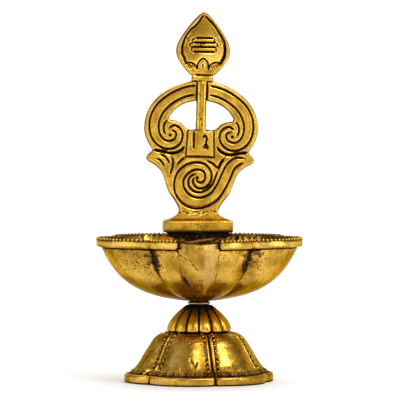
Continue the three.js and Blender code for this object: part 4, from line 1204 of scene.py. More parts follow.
# %% Tie rod
ROD_LOW, ROD_HIGH = level("tie_rod", 0), level("tie_rod", 1)
ROD_RADIUS, ROD_COLUMNS = 2.4, 48
ROOT_RADIUS, THREAD_RIDGE, THREAD_LENGTH, THREAD_PITCH, THREAD_FROM = 2.12, 0.26, 10.0, 0.8, 0.5
rod_around = np.linspace(0, 2 * math.pi, ROD_COLUMNS, endpoint=False)
rod_rows = [(1.6, 0), (ROOT_RADIUS, THREAD_FROM), (ROOT_RADIUS, THREAD_LENGTH + 0.6),
            (ROD_RADIUS, THREAD_LENGTH + 1.2), (ROD_RADIUS, ROD_HIGH - ROD_LOW - 0.4),
            (2.0, ROD_HIGH - ROD_LOW)]
rod_mesh = bpy.data.meshes.new("rod")
rod_points = np.concatenate([at_bearing(rod_around, radius, up + ROD_LOW) for radius, up in rod_rows])
rod_faces = ring_faces(len(rod_rows), ROD_COLUMNS, loop=False, caps=True)
rod_mesh.from_pydata(((rod_points + AXIS) * MM).tolist(), [], rod_faces)
low_end = (AXIS + [0, 0, ROD_LOW + THREAD_FROM]) * MM
rod_values = {"Turns": THREAD_LENGTH / THREAD_PITCH, "Root radius": ROOT_RADIUS * MM,
              "Length": THREAD_LENGTH * MM, "Ridge": THREAD_RIDGE * MM, "Low end": tuple(low_end),
              "Material": zinc}
rod = grow("threaded_rod", rod_mesh, thread_round_a_rod, rod_values)
rod.polygons.foreach_set("use_smooth", [True] * len(rod.polygons))
rod.set_sharp_from_angle(angle=math.radians(30))
claim(bpy.data.objects.new("threaded_rod", rod), ["tie_rod"])

# %% [markdown]
# The plaque
#
# The plaque is a flat casting: an arch of two volutes over a triple spiral, cut right through in two
# windows. Its ornament is a set of V-shaped grooves, and the metal between them is rounded. Cutting
# the grooves with booleans would leave flat strands, so the face is made as a height field: a fine
# net of triangles over the drawn outline, each point lifted or sunk by how far it is from the
# nearest groove and from the edge. The back is the same net, turned over and left plain.
# The drawing is in the plaque's own plane: u to the right, v up from the plinth's underside.

# %% Drawing of the plaque
LEAF_EDGE = [(9.8, 6), (9.8, 10.9), (11.7, 14.8), (15.2, 19.7), (17.1, 24.7), (19, 29.4), (22.4, 32.7),
             (26.3, 35), (26.9, 36.2), (26.5, 37.4), (25.3, 38.9), (24, 40)]
ARCH_EDGE = [(24.4, 40.9), (26.8, 45), (28.2, 49), (28.2, 54.5), (26.2, 61), (22, 66.6), (16.6, 70.6),
             (11, 73.3), (7.5, 74.4), (5.5, 75), (3, 75)]
WINDOW_TOP = [(2.2, 65.5), (8.8, 63.7), (13.3, 60.7), (16.3, 56.8)]
WINDOW_FOOT = [(16, 55.5), (12.8, 55), (10.1, 53.9), (7.8, 51.7), (5.5, 50.8), (2.2, 51.2)]

OUTER_VOLUTE = [(3.4, 72.9), (9.8, 71.4), (16.8, 67.9), (22.3, 63.1), (25.4, 57.2), (25.9, 50.3), (23.8, 45),
                (19.3, 41.5), (14.6, 41.1), (10.7, 43.6), (9.2, 47.5), (10.6, 51.3), (14, 52.7), (16.6, 51)]
INNER_VOLUTE = [(3.6, 68.3), (9, 66.9), (15, 63.5), (19.6, 58.5), (21.4, 52.8), (20.4, 47.7), (16.9, 44.9),
                (13.4, 46), (12.6, 49), (15.2, 50.5)]
VOLUTE_SHADE = [(16.9, 55.5), (18.6, 53.2), (18.8, 50.2), (17.6, 48)]
UNDER_VOLUTE = [(23.6, 40.2), (19.5, 39.8), (14.2, 38.9), (10.3, 40.2), (8, 42.6)]

SPIRAL_STEM = [(-2.1, 26), (0.2, 24.6), (2.4, 26.2), (2.1, 29.8), (-1.5, 31.1), (-5.4, 29.6), (-8, 26),
               (-7.7, 21.9), (-4.4, 18.2), (0.6, 17.2), (5.6, 19.5), (8.7, 24), (11.3, 30.1), (13.9, 34.8),
               (17.6, 37.4), (21.6, 37.4)]
SPIRAL_SWEEP = [(-2.9, 27.6), (-3.4, 24.7), (-1, 21.9), (2.7, 22.3), (5.6, 25.9), (5.4, 30.4),
                (2.4, 33.7), (-2.1, 34.7), (-7.3, 33.2), (-11.2, 29.4), (-12.7, 24.2), (-11.9, 18.9),
                (-8, 14), (-2.2, 11.8), (3.7, 12.9), (9.2, 16.5), (12.5, 21.4), (15.1, 26.9),
                (17.5, 32.4), (21.4, 35.3)]
SPIRAL_SHORT = [(-2.2, 29), (-5.1, 27.2), (-5.4, 22.9), (-2.2, 20.1), (2.3, 20.5), (6.2, 23.9), (8.9, 30.9)]
SPIRAL_HOOD = [(-11.8, 32.9), (-9.4, 35.8), (-7.6, 37)]
SPIRAL_BROW = [(3.1, 35.8), (6.7, 33.9), (9, 31.7)]
TAIL_FORK = [(9.2, 31.2), (10.2, 34.6), (12.1, 37.2)]
LEAF_VEINS = [[(-14.8, 37.5), (-13.7, 35.6), (-13.8, 32.4), (-15, 28.1)],
              [(-20.4, 38), (-18, 37.3), (-16.3, 35.5), (-15.5, 33.6)],
              [(-22.2, 35.9), (-20.3, 35.4), (-18.7, 33.7), (-17.8, 31.9)]]
DRAWN_RISE, CROWN = 75.0, 75.5
FINE, HEAVY = 0.7, 0.95


def mirrored(points):
    return [(-u, v) for u, v in points]


def raised(points):
    """The drawing stretched up to the crown's real height."""
    return np.array(points) * [1.0, CROWN / DRAWN_RISE]


strokes = [(line, FINE) for line in (OUTER_VOLUTE, INNER_VOLUTE, VOLUTE_SHADE)]
strokes += [(UNDER_VOLUTE, HEAVY)]
strokes += [(mirrored(line), width) for line, width in strokes]
strokes += [(line, FINE) for line in (SPIRAL_STEM, SPIRAL_SWEEP, SPIRAL_SHORT, SPIRAL_HOOD, SPIRAL_BROW)]
strokes += [(line, FINE) for line in LEAF_VEINS] + [(TAIL_FORK, HEAVY)]
strokes = [(raised(line), width) for line, width in strokes]
print("grooves on the plaque:", len(strokes))


# %% Grooves and distances
GROOVE_STEP = 0.12


def groove_patina_and_highlight(reach, half):
    """Patina of a groove: black on its floor and gone at its lip, with a painted highlight along the lip."""
    return 1 - smoothstep(reach / half, 0.42, 1.0) - 0.7 * hump(reach - half - 0.15, 0.28)


def edge_patina_and_highlight(to_edge):
    """Patina along an outline: brown where the side begins, with a painted highlight just inside."""
    return 0.55 * hump(to_edge, 0.25) - 0.6 * hump(to_edge - 0.85, 0.35)


class Grooves:
    """V-shaped grooves along drawn lines, each tapering to a point at both ends."""

    def __init__(self, strokes, taper=1.6):
        self.lines = [spline(line, GROOVE_STEP) if len(line) > 2
                      else even(np.array(line, float), GROOVE_STEP) for line, _ in strokes]
        widths = []
        for line, (_, half) in zip(self.lines, strokes):
            along = np.arange(len(line)) * GROOVE_STEP
            to_end = np.minimum(along, along[::-1])
            widths.append(half * (0.35 + 0.65 * smoothstep(to_end, 0, taper)))
        self.half = np.concatenate(widths)
        self.finder = point_finder(np.concatenate(self.lines))

    def reach(self, points):
        """Distance of each point to the nearest groove, and that groove's half width there."""
        found = [self.finder.find((u, v, 0)) for u, v in points]
        return np.array([f[2] for f in found]), self.half[[f[1] for f in found]]

    def rows(self, offsets, spacing=0.4):
        """Rows of points beside every groove, so that the net follows its walls."""
        rows = []
        for line in self.lines:
            line = even(line, spacing)
            along = np.gradient(line, axis=0)
            side = np.stack([-along[:, 1], along[:, 0]], axis=1) / np.linalg.norm(along, axis=1)[:, None]
            rows += [line + offset * side for offset in offsets]
        return np.concatenate(rows)


def point_finder(points):
    """A tree that finds the nearest of many flat points."""
    finder = kdtree.KDTree(len(points))
    for index, (u, v) in enumerate(points):
        finder.insert((u, v, 0), index)
    finder.balance()
    return finder


def inside(loops, points):
    """Whether points lie inside closed loops, counted by crossings so that holes stay open."""
    result = np.zeros(len(points), bool)
    u, v = points[:, 0], points[:, 1]
    for loop in loops:
        for (u0, v0), (u1, v1) in zip(loop, np.roll(loop, -1, axis=0)):
            if v0 != v1:
                result ^= ((v0 > v) != (v1 > v)) & (u < (u1 - u0) * (v - v0) / (v1 - v0) + u0)
    return result


print("groove tools ready")

# %% Points of a flat net
NET_STEP, NET_APART = 0.8, 0.5


def rows_inside(loops, offsets):
    """Rows of points a little inside every loop, for the rounding of the edges."""
    rows = []
    for loop in loops:
        along = np.roll(loop, -1, axis=0) - np.roll(loop, 1, axis=0)
        side = np.stack([-along[:, 1], along[:, 0]], axis=1) / np.linalg.norm(along, axis=1)[:, None]
        rows += [loop + offset * side for offset in offsets]
    return np.concatenate(rows)


def thinned(fixed, layers):
    """Points of the layers, in order, that keep their distance from all points before them. No
    distance may be longer than NET_APART, the side of the cells in which the points are looked up."""
    taken = {}

    def cell(u, v):
        return int(u // NET_APART), int(v // NET_APART)

    def free(u, v, apart):
        a, b = cell(u, v)
        for i in (a - 1, a, a + 1):
            for j in (b - 1, b, b + 1):
                for p, q in taken.get((i, j), ()):
                    if (p - u) ** 2 + (q - v) ** 2 < apart**2:
                        return False
        return True

    for u, v in fixed:
        taken.setdefault(cell(u, v), []).append((u, v))
    kept = []
    for points, apart in layers:
        for u, v in points:
            if free(u, v, apart):
                kept.append((u, v))
                taken.setdefault(cell(u, v), []).append((u, v))
    return kept


print("a flat net has points every", NET_STEP, "mm, and more where rows are laid")

# %% Flat castings
def flat_net(loops, walls, layers):
    """Points and triangles over loops, with edges along the loops and along the lines in walls."""
    fixed = np.concatenate([*loops, *walls])
    edges, start = [], 0
    for line, closed in [(loop, True) for loop in loops] + [(wall, False) for wall in walls]:
        count = len(line)
        edges += [(start + i, start + (i + 1) % count) for i in range(count if closed else count - 1)]
        start += count
    low, high = loops[0].min(axis=0), loops[0].max(axis=0)
    columns, rows = (np.arange(low[k], high[k], NET_STEP) for k in (0, 1))
    grid = np.stack(np.meshgrid(columns, rows), axis=-1).reshape(-1, 2)
    loose = np.array(thinned(fixed, layers + [(grid, NET_APART)]))
    loose = loose[inside(loops, loose)]
    corners = [Vector(p) for p in np.concatenate([fixed, loose])]
    net = delaunay_2d_cdt(corners, edges, [], 0, 1e-5)
    flat = np.array([tuple(p) for p in net[0]])
    triangles = np.array([face for face in net[2] if len(face) == 3])
    triangles = triangles[inside(loops, flat[triangles].mean(axis=1))]
    used, triangles = np.unique(triangles, return_inverse=True)
    flat, triangles = flat[used], triangles.reshape(-1, 3)
    a, b, c = (flat[triangles[:, k]] for k in range(3))
    turned_over = (b[:, 0] - a[:, 0]) * (c[:, 1] - a[:, 1]) < (b[:, 1] - a[:, 1]) * (c[:, 0] - a[:, 0])
    triangles[turned_over] = triangles[turned_over][:, ::-1]
    return flat, triangles


def flat_casting(loops, walls, layers, front, back):
    """A closed slab over loops (outline, then holes; metal on their left), with steep walls along
    the lines in walls. front and back give (w, patina) from points and distance to the edge."""
    flat, triangles = flat_net(loops, walls, layers)
    edge_points = np.concatenate([even(np.vstack([loop, loop[:1]]), 0.1) for loop in loops])
    finder = point_finder(edge_points)
    to_edge = np.array([finder.find((u, v, 0))[2] for u, v in flat])
    front_w, front_shade = front(flat, to_edge)
    back_w, back_shade = back(flat, to_edge)
    count = len(flat)
    directed = {(int(p), int(q)) for t in triangles for p, q in zip(t, np.roll(t, -1))}
    rim = [(p, q) for p, q in directed if (q, p) not in directed]
    faces = triangles.tolist() + (triangles[:, ::-1] + count).tolist()
    faces += [(p, p + count, q + count, q) for p, q in rim]
    points = np.vstack([np.column_stack([flat, front_w]), np.column_stack([flat, back_w])])
    return points, faces, np.concatenate([front_shade, back_shade])


print("flat castings can be made")

# %% Place of the plaque
LEAN, ASIDE = math.radians(1.8), -0.62
PLINTH_BASE = level("plaque", 0)


def upright(points, lean=LEAN):
    """From the plaque's plane (u, v, w) to the lamp: the plaque leans and turns to the right."""
    u, v, w = points[:, 0], points[:, 1], points[:, 2]
    across = u * math.cos(lean) + v * math.sin(lean)
    up = v * math.cos(lean) - u * math.sin(lean)
    return turned(np.stack([across + ASIDE, -w, up + PLINTH_BASE], axis=1), TOP_TURN)


def rough_face(points, layer, size):
    """Smooth noise on a flat face, with lumps of a size in mm. Each layer has its own lumps."""
    return lumpy(np.column_stack([points, np.full(len(points), layer)]), size)


def rounded_edge(to_edge, radius):
    """How far the face drops towards an edge that is rounded with a radius."""
    short = np.clip(radius - to_edge, 0, radius)
    return radius - np.sqrt(radius**2 - short**2)


print("the plaque's underside (mm):", round(PLINTH_BASE, 2))

# %% Outline, windows and the spear's seat
FACE, SEAT = 2.5, 0.0
SPEAR_ASIDE, SHAFT_HALF, SEAT_GAP, STRIP_HALF = -0.3, 2.6, 0.2, 2.1
STRIP_FOOT, STRIP_TOP = 51.9, 65.6
BLOCK_TOP, BLOCK_FOOT = 51.0, 37.8
BLOCK_HALF_TOP, BLOCK_HALF_FOOT = 6.3, 7.0

right_side = np.vstack([spline(raised(line), 0.5) for line in (LEAF_EDGE, ARCH_EDGE)])
outline = np.vstack([right_side, right_side[::-1] * [-1, 1]])
outline = even(np.vstack([outline, outline[:1]]), 0.55)[:-1]
shaft_seat = SHAFT_HALF + SEAT_GAP
windows = []
for hand in (1, -1):
    window = np.vstack([spline(raised(WINDOW_TOP), 0.5), spline(raised(WINDOW_FOOT), 0.5)])
    window = even(np.vstack([window, window[:1]]), 0.5)[:-1]
    window[:, 0] = hand * np.maximum(window[:, 0], STRIP_HALF)
    windows.append(window if hand == 1 else window[::-1])


def seat_line(grow_by):
    """Open outline of the spear's seat, from the crown down round the block and up again."""
    shaft = shaft_seat + grow_by
    top, foot = BLOCK_HALF_TOP + SEAT_GAP + grow_by, BLOCK_HALF_FOOT + SEAT_GAP + grow_by
    shoulder, floor = BLOCK_TOP + SEAT_GAP + grow_by, BLOCK_FOOT - SEAT_GAP - grow_by
    corners = [(shaft, CROWN + 1), (shaft, shoulder), (top, shoulder), (foot, floor)]
    corners = np.array(corners + [(-u, v) for u, v in reversed(corners)]) + [SPEAR_ASIDE, 0.0]
    return even(corners, 0.5), corners


seat_wall, seat_corners = seat_line(0.0)
seat_floor, floor_corners = seat_line(-0.07)
print("outline points:", len(outline), "window points:", [len(w) for w in windows])

# %% Plaque relief
plaque_grooves = Grooves(strokes)
seat_finder = point_finder(even(seat_corners, 0.1))
EYES = [(15.6, 48.2, 0.8), (-15.6, 48.2, 0.8), (-1.35, 27.3, 0.85)]


def pit_depth(points, pits, deep=1.1):
    """Round pits (u, v, radius): how deep they are at each point, and how dark."""
    depth, shade = np.zeros(len(points)), np.zeros(len(points))
    for u, v, radius in pits:
        away = np.hypot(points[:, 0] - u, points[:, 1] - v) / radius
        depth = np.maximum(depth, min(deep, 1.1 * radius) * np.clip(1 - away**4, 0, 1))
        shade = np.maximum(shade, np.exp(-(away**4)))
    return depth, shade


def plaque_face(points, to_edge):
    """The front: cut grooves, rounded strands between them, and the spear's flat seat."""
    reach, half = plaque_grooves.reach(points)
    near = np.minimum(reach, to_edge)
    pillow = 0.45 * (1 - np.exp(-near / 0.55))
    cut = 1.35 * half * np.clip(1 - np.hypot(reach, 0.06) / half, 0, 1)
    w = FACE - 0.3 + pillow - cut - 0.8 * rounded_edge(to_edge, 0.9)
    w += 0.05 * rough_face(points, 3.0, 2.4)
    depth, pit_shade = pit_depth(points, EYES)
    w -= depth
    shade = np.where(reach < to_edge, groove_patina_and_highlight(reach, half), edge_patina_and_highlight(to_edge))
    seated = inside([floor_corners], points)
    beside = inside([seat_corners], points) & ~seated
    strip = np.abs(points[:, 0]) < STRIP_HALF + 0.02
    strip &= (points[:, 1] > STRIP_FOOT) & (points[:, 1] < STRIP_TOP)
    seated |= strip
    w = np.where(seated, SEAT, w)
    # Black round the spear's seat: patina and a painted shade in the narrow gap beside the spear.
    to_seat = np.array([seat_finder.find((u, v, 0))[2] for u, v in points])
    shade += 1.3 * hump(to_seat, 0.35) + pit_shade
    return w, np.where(seated | beside, 1.0, shade)


def plaque_back(points, to_edge):
    """The back: plain, uneven from the mould and browner in its hollows."""
    w = -FACE + 0.9 * rounded_edge(to_edge, 0.9)
    rough = rough_face(points, 9.0, 3.0)
    return w + 0.12 * rough, 0.1 + 0.22 * rough - 0.3 * np.exp(-to_edge)


print("grooves, eyes and seat are ready to be cut")

# %% The plate
edge_rows = rows_inside([outline, *windows], [0.1, 0.3, 0.6, 0.95])
groove_rows = plaque_grooves.rows([0.0, 0.3, -0.3, 0.62, -0.62, 1.0, -1.0])
seat_rows = np.vstack([seat_line(grow_by)[0] for grow_by in (0.25, 0.5, 0.8)])
eye_rows = [(u + r * s * math.cos(a), v + r * s * math.sin(a)) for u, v, r in EYES
            for s in (0.0, 0.5, 0.8, 1.0, 1.2) for a in np.linspace(0, 2 * math.pi, 16, endpoint=False)]
plate = flat_casting([outline, *windows], [seat_wall, seat_floor],
                     [(np.array(eye_rows), 0.12), (seat_rows, 0.15), (groove_rows, 0.2), (edge_rows, 0.18)],
                     plaque_face, plaque_back)
print("plate points:", len(plate[0]))

# %% Plinth
PLINTH_HALF, PLINTH_DEEP, PLINTH_HEIGHT, NECK_HEIGHT, NECK_HALF = 17.2, 7.3, 6.2, 10.9, 9.6
STEP_IN, STEP_BACK, NECK_BACK, TOP_ROUND = 1.5, 1.4, 2.6, 1.4
PLINTH_OLIVE = 0.3
plinth_rows = [(1.8, 1.8, 0.0, 1.0), (1.0, 1.0, 0.0, 0.8), (0.45, 0.45, 0.12, 0.4), (0.12, 0.12, 0.45, 0.15),
               (0, 0, 1.0, 0), (0, 0, 2.0, 0), (0, 0, 3.2, 0)]
for a in np.linspace(0, math.pi / 2, 9):
    inset = TOP_ROUND * (1 - math.cos(a))
    plinth_rows.append((inset, inset, PLINTH_HEIGHT - TOP_ROUND + TOP_ROUND * math.sin(a), 0.0))
for share in np.linspace(0.03, 1.0, 22):
    sweep_in = 1 - (1 - share) ** 2.2
    inset = STEP_IN + (PLINTH_HALF - NECK_HALF - STEP_IN) * sweep_in
    inset_back = STEP_BACK + (PLINTH_DEEP - NECK_BACK - STEP_BACK) * sweep_in
    height = PLINTH_HEIGHT + (NECK_HEIGHT - PLINTH_HEIGHT) * share
    plinth_rows.append((inset, inset_back, height, 0.25 * hump(share - 0.05, 0.08)))


def oblong_ring(half_width, half_depth, height, corner, count=26):
    """An oblong ring with rounded corners, as many points on each side for every ring."""
    points = []
    spots = [(half_width - corner, corner - half_depth, -90),
             (half_width - corner, half_depth - corner, 0),
             (corner - half_width, half_depth - corner, 90),
             (corner - half_width, corner - half_depth, 180)]
    for place, (u, d, start) in enumerate(spots):
        turn = np.radians(np.linspace(start, start + 90, 7))
        points += [(u + corner * math.cos(a), d + corner * math.sin(a)) for a in turn]
        following = spots[(place + 1) % 4]
        last = points[-1]
        angle = math.radians(following[2])
        goal = (following[0] + corner * math.cos(angle), following[1] + corner * math.sin(angle))
        points += [(last[0] + (goal[0] - last[0]) * s, last[1] + (goal[1] - last[1]) * s)
                   for s in np.linspace(0, 1, count)[1:-1]]
    return np.column_stack([np.array(points), np.full(len(points), height)])


plinth_rings = [oblong_ring(PLINTH_HALF - inset, PLINTH_DEEP - inset_back, height, 1.0)
                for inset, inset_back, height, _ in plinth_rows]
columns = len(plinth_rings[0])
plinth = np.concatenate(plinth_rings)
plinth_shade = np.repeat([row[3] for row in plinth_rows], columns)
grain = lumpy(plinth, 1.3)
neck_share = smoothstep(plinth[:, 2], PLINTH_HEIGHT + 1.6, NECK_HEIGHT - 0.5)
plinth[:, 1] += np.sign(plinth[:, 1]) * 0.55 * grain * neck_share
plinth_shade = plinth_shade + 2.2 * grain * neck_share + np.clip(0.05 + 0.35 * lumpy(plinth, 2.4), 0, 1)
plinth_faces = ring_faces(len(plinth_rings), columns, loop=False, caps=True)
print("plinth rings:", len(plinth_rings))

# %% Plate and plinth as one casting
plate_points = upright(plate[0])
plaque_points = np.vstack([plate_points, turned(plinth + [ASIDE, 0, PLINTH_BASE], TOP_TURN)])
plaque_faces = plate[1] + [tuple(index + len(plate_points) for index in face) for face in plinth_faces]
add_piece("lamp_plaque", plaque_points, plaque_faces, plaque_brass, "polished_brass", ["plaque"],
          np.concatenate([plate[2], plinth_shade]), sharp=60,
          tone=np.repeat([0.0, PLINTH_OLIVE], [len(plate_points), len(plinth)]))

# %% [markdown]
# The spear
#
# The spear lies in a seat cut in the plaque and is one casting: a leaf-shaped blade with a raised
# border, a collar, a round shaft and a square block with a slot and a keyhole. It is made the same
# way as the plaque, as a height field, because it is a flat casting with drawn relief: the blade's
# field is domed, three bars stand on it, and petals with engraved veins close its foot.

# %% Drawing of the spear
BLADE_HALF, COLLAR_HALF, COLLAR_FOOT, COLLAR_TOP_V, TIP = 13.4, 5.3, 75.3, 78.6, 110.2
BLADE_SHARES = [(0.45, 0), (0.57, 0.05), (0.75, 0.14), (0.9, 0.23), (0.985, 0.32), (1, 0.41), (0.93, 0.51),
                (0.79, 0.62), (0.6, 0.74), (0.36, 0.87), (0.12, 0.97), (0, 1)]
BORDER = [(-8.4, 83.7), (-9.1, 85.4), (-9.8, 87.4), (-10.6, 89.8), (-10.7, 92.3), (-10.1, 94.8), (-9.2, 97.1),
          (-8, 99.1), (-6.3, 101.4), (-4.1, 103.3), (-2.4, 105.6), (-1.1, 107.5), (-0.3, 108.4)]
BORDER_RIGHT = [(0.4, 108.1), (1.8, 106.7), (3.6, 105), (5.2, 103.1), (6.5, 101.3), (7.8, 99.4), (9.1, 97.4),
                (10.4, 95), (11, 92.5), (11.1, 90), (10.6, 87.5), (9.5, 85.5), (8.8, 84.4)]
LEFT_PETAL = [(-8.4, 83.7), (-7.5, 84.4), (-6, 84.6), (-4.5, 84), (-3.5, 82.6), (-2.6, 81.1)]
MIDDLE_PETAL = [(-2.9, 81.4), (-2.6, 83.8), (-1.9, 85.4), (-0.8, 86.4), (0.15, 86.8), (1.2, 86.2), (2.2, 85),
                (2.7, 83.3), (2.8, 81.2)]
RIGHT_PETAL = [(2.9, 81.5), (3.3, 83), (4.3, 84.1), (5.5, 84.8), (6.8, 85.1), (8, 84.8), (9.1, 83.9)]
INNER_ARCH = [(-1.6, 81), (-1.4, 83.6), (-0.7, 85), (0.1, 85.5), (0.9, 85), (1.6, 83.6), (1.7, 81)]
PETAL_SLOT = [(-0.1, 84.5), (0.05, 82.3)]
BAR_LINES = [(97, -4.3, 4.8), (94.7, -5, 6.1), (92.5, -6, 6.2), (90.1, -5.3, 5.8)]
BAR_ENDS = [((5.3, 96.3), (-5.7, 95.6)), ((6.9, 93.8), (-7, 93.5)), ((6.3, 91.1), (-5.9, 90.9))]
EYE = [(-0.65 + 1.1 * math.cos(a), 93.55 + 0.75 * math.sin(a)) for a in np.linspace(0, 2 * math.pi, 9)]
VEINS = [[(3.9, 83.5), (5.2, 81.1)], [(4.7, 84.2), (6.1, 81.6)], [(5.7, 84.6), (7, 82.1)],
         [(6.7, 84.8), (7.8, 82.7)], [(7.7, 84.6), (8.6, 83.2)]]
CROSS_VEINS = [[(-7.9, 83.4), (-6.1, 81.4)], [(-6.9, 84), (-4.9, 81.5)], [(-5.6, 84), (-4.1, 81.8)],
               [(-7.8, 82.5), (-6.3, 84)], [(-6.9, 81.7), (-4.9, 83.4)]]

engraved = [(BORDER, 0.65), (BORDER_RIGHT, 0.7), (LEFT_PETAL, 0.6), (MIDDLE_PETAL, 0.6), (RIGHT_PETAL, 0.6),
            (INNER_ARCH, 0.24), (PETAL_SLOT, 0.55), (EYE, 0.4)]
engraved += [([(left, v), (0, v + 0.05), (right, v + 0.1)], 0.78) for v, left, right in BAR_LINES]
for upper, lower, ends in zip(BAR_LINES, BAR_LINES[1:], BAR_ENDS):
    for side, (u, v) in zip((2, 1), ends):
        engraved.append(([(upper[side], upper[0]), (u, v + 0.4), (u, v - 0.4), (lower[side], lower[0])], 0.5))
engraved += [(line, 0.3) for line in VEINS + CROSS_VEINS]
SLOT = [(-3.4, 50.4), (-3.4, 46), (-3.3, 41.5)]
KEY_HOOK = [(1.1, 47.2), (1.5, 48), (2.3, 48.2), (3, 47.4), (3.1, 46.6), (2.8, 45.2), (2.8, 43.2)]
engraved += [(SLOT, 0.85), (KEY_HOOK, 0.75)]
print("engraved lines on the spear:", len(engraved))

# %% Spear outline
SPEAR_BACK, SPEAR_FACE, WAVY_TOP = 0.3, 3.6, 65.0
straight = [(BLOCK_HALF_FOOT, BLOCK_FOOT), (BLOCK_HALF_TOP, BLOCK_TOP), (SHAFT_HALF, BLOCK_TOP),
            (SHAFT_HALF, COLLAR_FOOT), (COLLAR_HALF, COLLAR_FOOT), (COLLAR_HALF, COLLAR_TOP_V)]
spear_side = []
for start, end in zip(straight, straight[1:]):
    spear_side.append(even(np.array([start, end], float), 0.45)[:-1])
blade_side = [(a * BLADE_HALF, COLLAR_TOP_V + b * (TIP - COLLAR_TOP_V)) for a, b in BLADE_SHARES]
spear_side = np.vstack([*spear_side, [straight[-1]], spline(blade_side, 0.45)])
on_shaft = (spear_side[:, 1] > BLOCK_TOP + 0.8) & (spear_side[:, 1] < WAVY_TOP)
spear_side[:, 0] -= np.where(on_shaft, 0.15 + 0.18 * np.sin(5.1 * spear_side[:, 1]), 0.0)
spear_outline = np.vstack([spear_side, spear_side[::-1][1:] * [-1, 1]])
print("spear outline points:", len(spear_outline))

# %% Spear relief
spear_grooves = Grooves(engraved, taper=0.6)
PITS = [(2.7, 43.1, 1.35), (-0.65, 93.55, 0.3), (0.6, 53.8, 0.32), (-0.5, 56.9, 0.3)]
FIELD_MIDDLE, FIELD_HALF, FIELD_RISE, FIELD_FOOT = 94, 11.2, 16, 84.8
GROOVE_ASIDE, GROOVE_FOOT = 4.35, 41.2


def spear_face(points, to_edge):
    """The front: a domed field in the blade, a round collar and shaft, and a block with its slot."""
    u, v = points[:, 0], points[:, 1]
    reach, half = spear_grooves.reach(points)
    near = np.minimum(reach, to_edge)
    pillow = 0.4 * (1 - np.exp(-near / 0.5))
    cut = 1.3 * half * np.clip(1 - np.hypot(reach, 0.05) / half, 0, 1)
    plain = SPEAR_FACE - 0.25 + pillow - 0.8 * rounded_edge(to_edge, 0.8)
    dome = np.clip(1 - (u / FIELD_HALF) ** 2 - ((v - FIELD_MIDDLE) / FIELD_RISE) ** 2, 0, 1)
    field = SPEAR_FACE - 1.5 + 2.2 * dome
    on_field = (to_edge > 2.3) & (v > FIELD_FOOT - 1.8 * smoothstep(np.abs(u), 9, 7))
    blade = np.where(on_field, field + 0.3 * pillow, plain)
    shaft = SPEAR_FACE - SHAFT_HALF * 0.9 * (1 - np.sqrt(np.clip(1 - (u / SHAFT_HALF) ** 2, 0, 1)))
    round_collar = np.clip(1 - ((v - (COLLAR_FOOT + COLLAR_TOP_V) / 2) / 1.68) ** 2, 0, 1)
    collar = SPEAR_FACE - 1.1 + 1.4 * np.sqrt(round_collar) - 0.6 * rounded_edge(COLLAR_HALF - np.abs(u), 1.2)
    w = np.where(v > BLOCK_TOP, shaft, plain)
    w = np.where(v >= COLLAR_FOOT, collar, w)
    w = np.where(v > COLLAR_TOP_V, blade, w)
    w = w - 0.5 * hump(u + GROOVE_ASIDE, 0.45) * (v > GROOVE_FOOT) * (v < BLOCK_TOP - 0.4)
    depth, pit_shade = pit_depth(points, PITS)
    w = w - cut - depth + 0.04 * rough_face(points, 5.0, 2.0)
    shade = np.where(reach < to_edge, groove_patina_and_highlight(reach, half), edge_patina_and_highlight(to_edge)) + pit_shade
    shade += np.where((v > BLOCK_TOP) & (v < COLLAR_FOOT), 0.9 * patches(1.1 * u, 0.7 * v, 7.0), 0.0)
    # The field's lower right is made lighter: painted light where the domed field turns towards the lights.
    painted_light_lower_right = on_field * (reach > half) * smoothstep(u - 0.6 * (v - FIELD_MIDDLE), -3, 7)
    shade -= 0.75 * painted_light_lower_right * (v > COLLAR_TOP_V)
    for seam in (COLLAR_FOOT - 0.3, COLLAR_TOP_V + 0.1, BLOCK_TOP + 0.1):
        shade += 0.8 * hump(v - seam, 0.26) * (np.abs(u) < 6.2)
    return w, shade


def spear_back(points, to_edge):
    return np.full(len(points), SPEAR_BACK) + 0.3 * rounded_edge(to_edge, 0.5), 0.12 - 0.3 * np.exp(-to_edge)


print("spear grooves and pits are ready to be cut")

# %% Spear as one casting
spear_rows = rows_inside([spear_outline], [0.1, 0.3, 0.6, 0.9])
fine_rows = spear_grooves.rows([0.0, 0.22, -0.22, 0.45, -0.45, 0.7, -0.7], 0.3)
keyhole = [(u + r * s * math.cos(a), v + r * s * math.sin(a)) for u, v, r in PITS
           for s in (0.5, 0.8, 0.95, 1.1) for a in np.linspace(0, 2 * math.pi, 20, endpoint=False)]
spear = flat_casting([spear_outline], [], [(np.array(keyhole), 0.1), (fine_rows, 0.13), (spear_rows, 0.18)],
                     spear_face, spear_back)
spear_u, spear_v = spear[0][:, 0], spear[0][:, 1]
# The field's upper left is painted olive: painted shade on the side of the dome turned from the lights.
painted_shade_upper_left = smoothstep(spear_v - spear_u, 89, 108) * (spear_v > COLLAR_TOP_V)
add_piece("lamp_spear", upright(spear[0] + [SPEAR_ASIDE, 0, 0]), spear[1], plaque_brass, "polished_brass",
          ["spear"], spear[2], sharp=60, tone=0.45 * painted_shade_upper_left)

# %% [markdown]
# Rivets
#
# Two rivets from behind hold the spear in its seat. Their heads were set with a hammer, so they are
# low and slightly flattened. One rivet is turned on the lathe and a tree sets a copy on each mark.

# %% Rivets on marks
RIVET_MARKS = [(0.22, CROWN - 5.0), (0.22, (BLOCK_TOP + BLOCK_FOOT) / 2)]
RIVET_BACK, RIVET_COLUMNS = -FACE - 0.3, 32


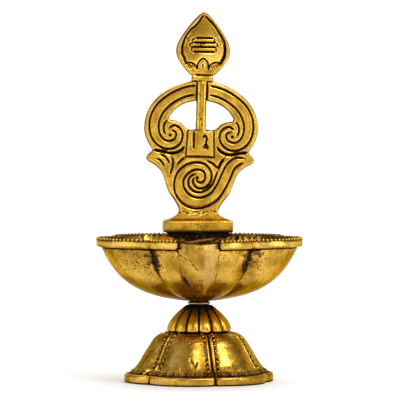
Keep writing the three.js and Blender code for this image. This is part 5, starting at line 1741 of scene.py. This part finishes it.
def rivet_object():
    """One rivet, its head at the back and its shank towards the front."""
    rows = [(0.02, -1.0), (1.0, -0.98), (1.7, -0.86), (2.25, -0.6), (2.5, -0.35), (2.6, -0.15), (2.5, 0.0),
            (1.3, 0.0), (1.3, 4.2), (1.0, 4.4), (0.02, 4.4)]
    around = np.linspace(0, 2 * math.pi, RIVET_COLUMNS, endpoint=False)
    points = [(r * math.cos(a), -w, r * math.sin(a)) for r, w in rows for a in around]
    mesh = bpy.data.meshes.new("rivet")
    faces = ring_faces(len(rows), RIVET_COLUMNS, loop=False, caps=True)
    mesh.from_pydata((np.array(points) * MM).tolist(), [], faces)
    mesh.polygons.foreach_set("use_smooth", [True] * len(mesh.polygons))
    rivet = bpy.data.objects.new("rivet", mesh)
    bpy.context.collection.objects.link(rivet)
    return rivet


def marks_tree():
    """A copy of one object on every mark."""
    tree = bpy.data.node_groups.new("copies on marks", "GeometryNodeTree")
    sockets = [("Copied object", "Object"), ("Size", "Float"), ("Material", "Material")]
    given, result = node_inputs(tree, sockets)
    info = tree.nodes.new("GeometryNodeObjectInfo")
    placed = tree.nodes.new("GeometryNodeInstanceOnPoints")
    tree.links.new(given.outputs["Copied object"], info.inputs["Object"])
    tree.links.new(given.outputs["Geometry"], placed.inputs["Points"])
    tree.links.new(info.outputs["Geometry"], placed.inputs["Instance"])
    tree.links.new(given.outputs["Size"], placed.inputs["Scale"])
    finish_tree(tree, placed.outputs["Instances"], given, result)
    return tree


marks = upright(np.array([(u, v, RIVET_BACK) for u, v in RIVET_MARKS]))
marks_mesh = bpy.data.meshes.new("rivet_marks")
marks_mesh.from_pydata(((marks + AXIS) * MM).tolist(), [], [])
pattern = rivet_object()
rivet_values = {"Copied object": pattern, "Size": 1.0, "Material": aged_brass}
rivets = grow("spear_rivets", marks_mesh, marks_tree(), rivet_values)
bpy.data.objects.remove(pattern)
rivets.set_sharp_from_angle(angle=math.radians(40))
claim(bpy.data.objects.new("spear_rivets", rivets), ["crown_rivet", "block_rivet"])
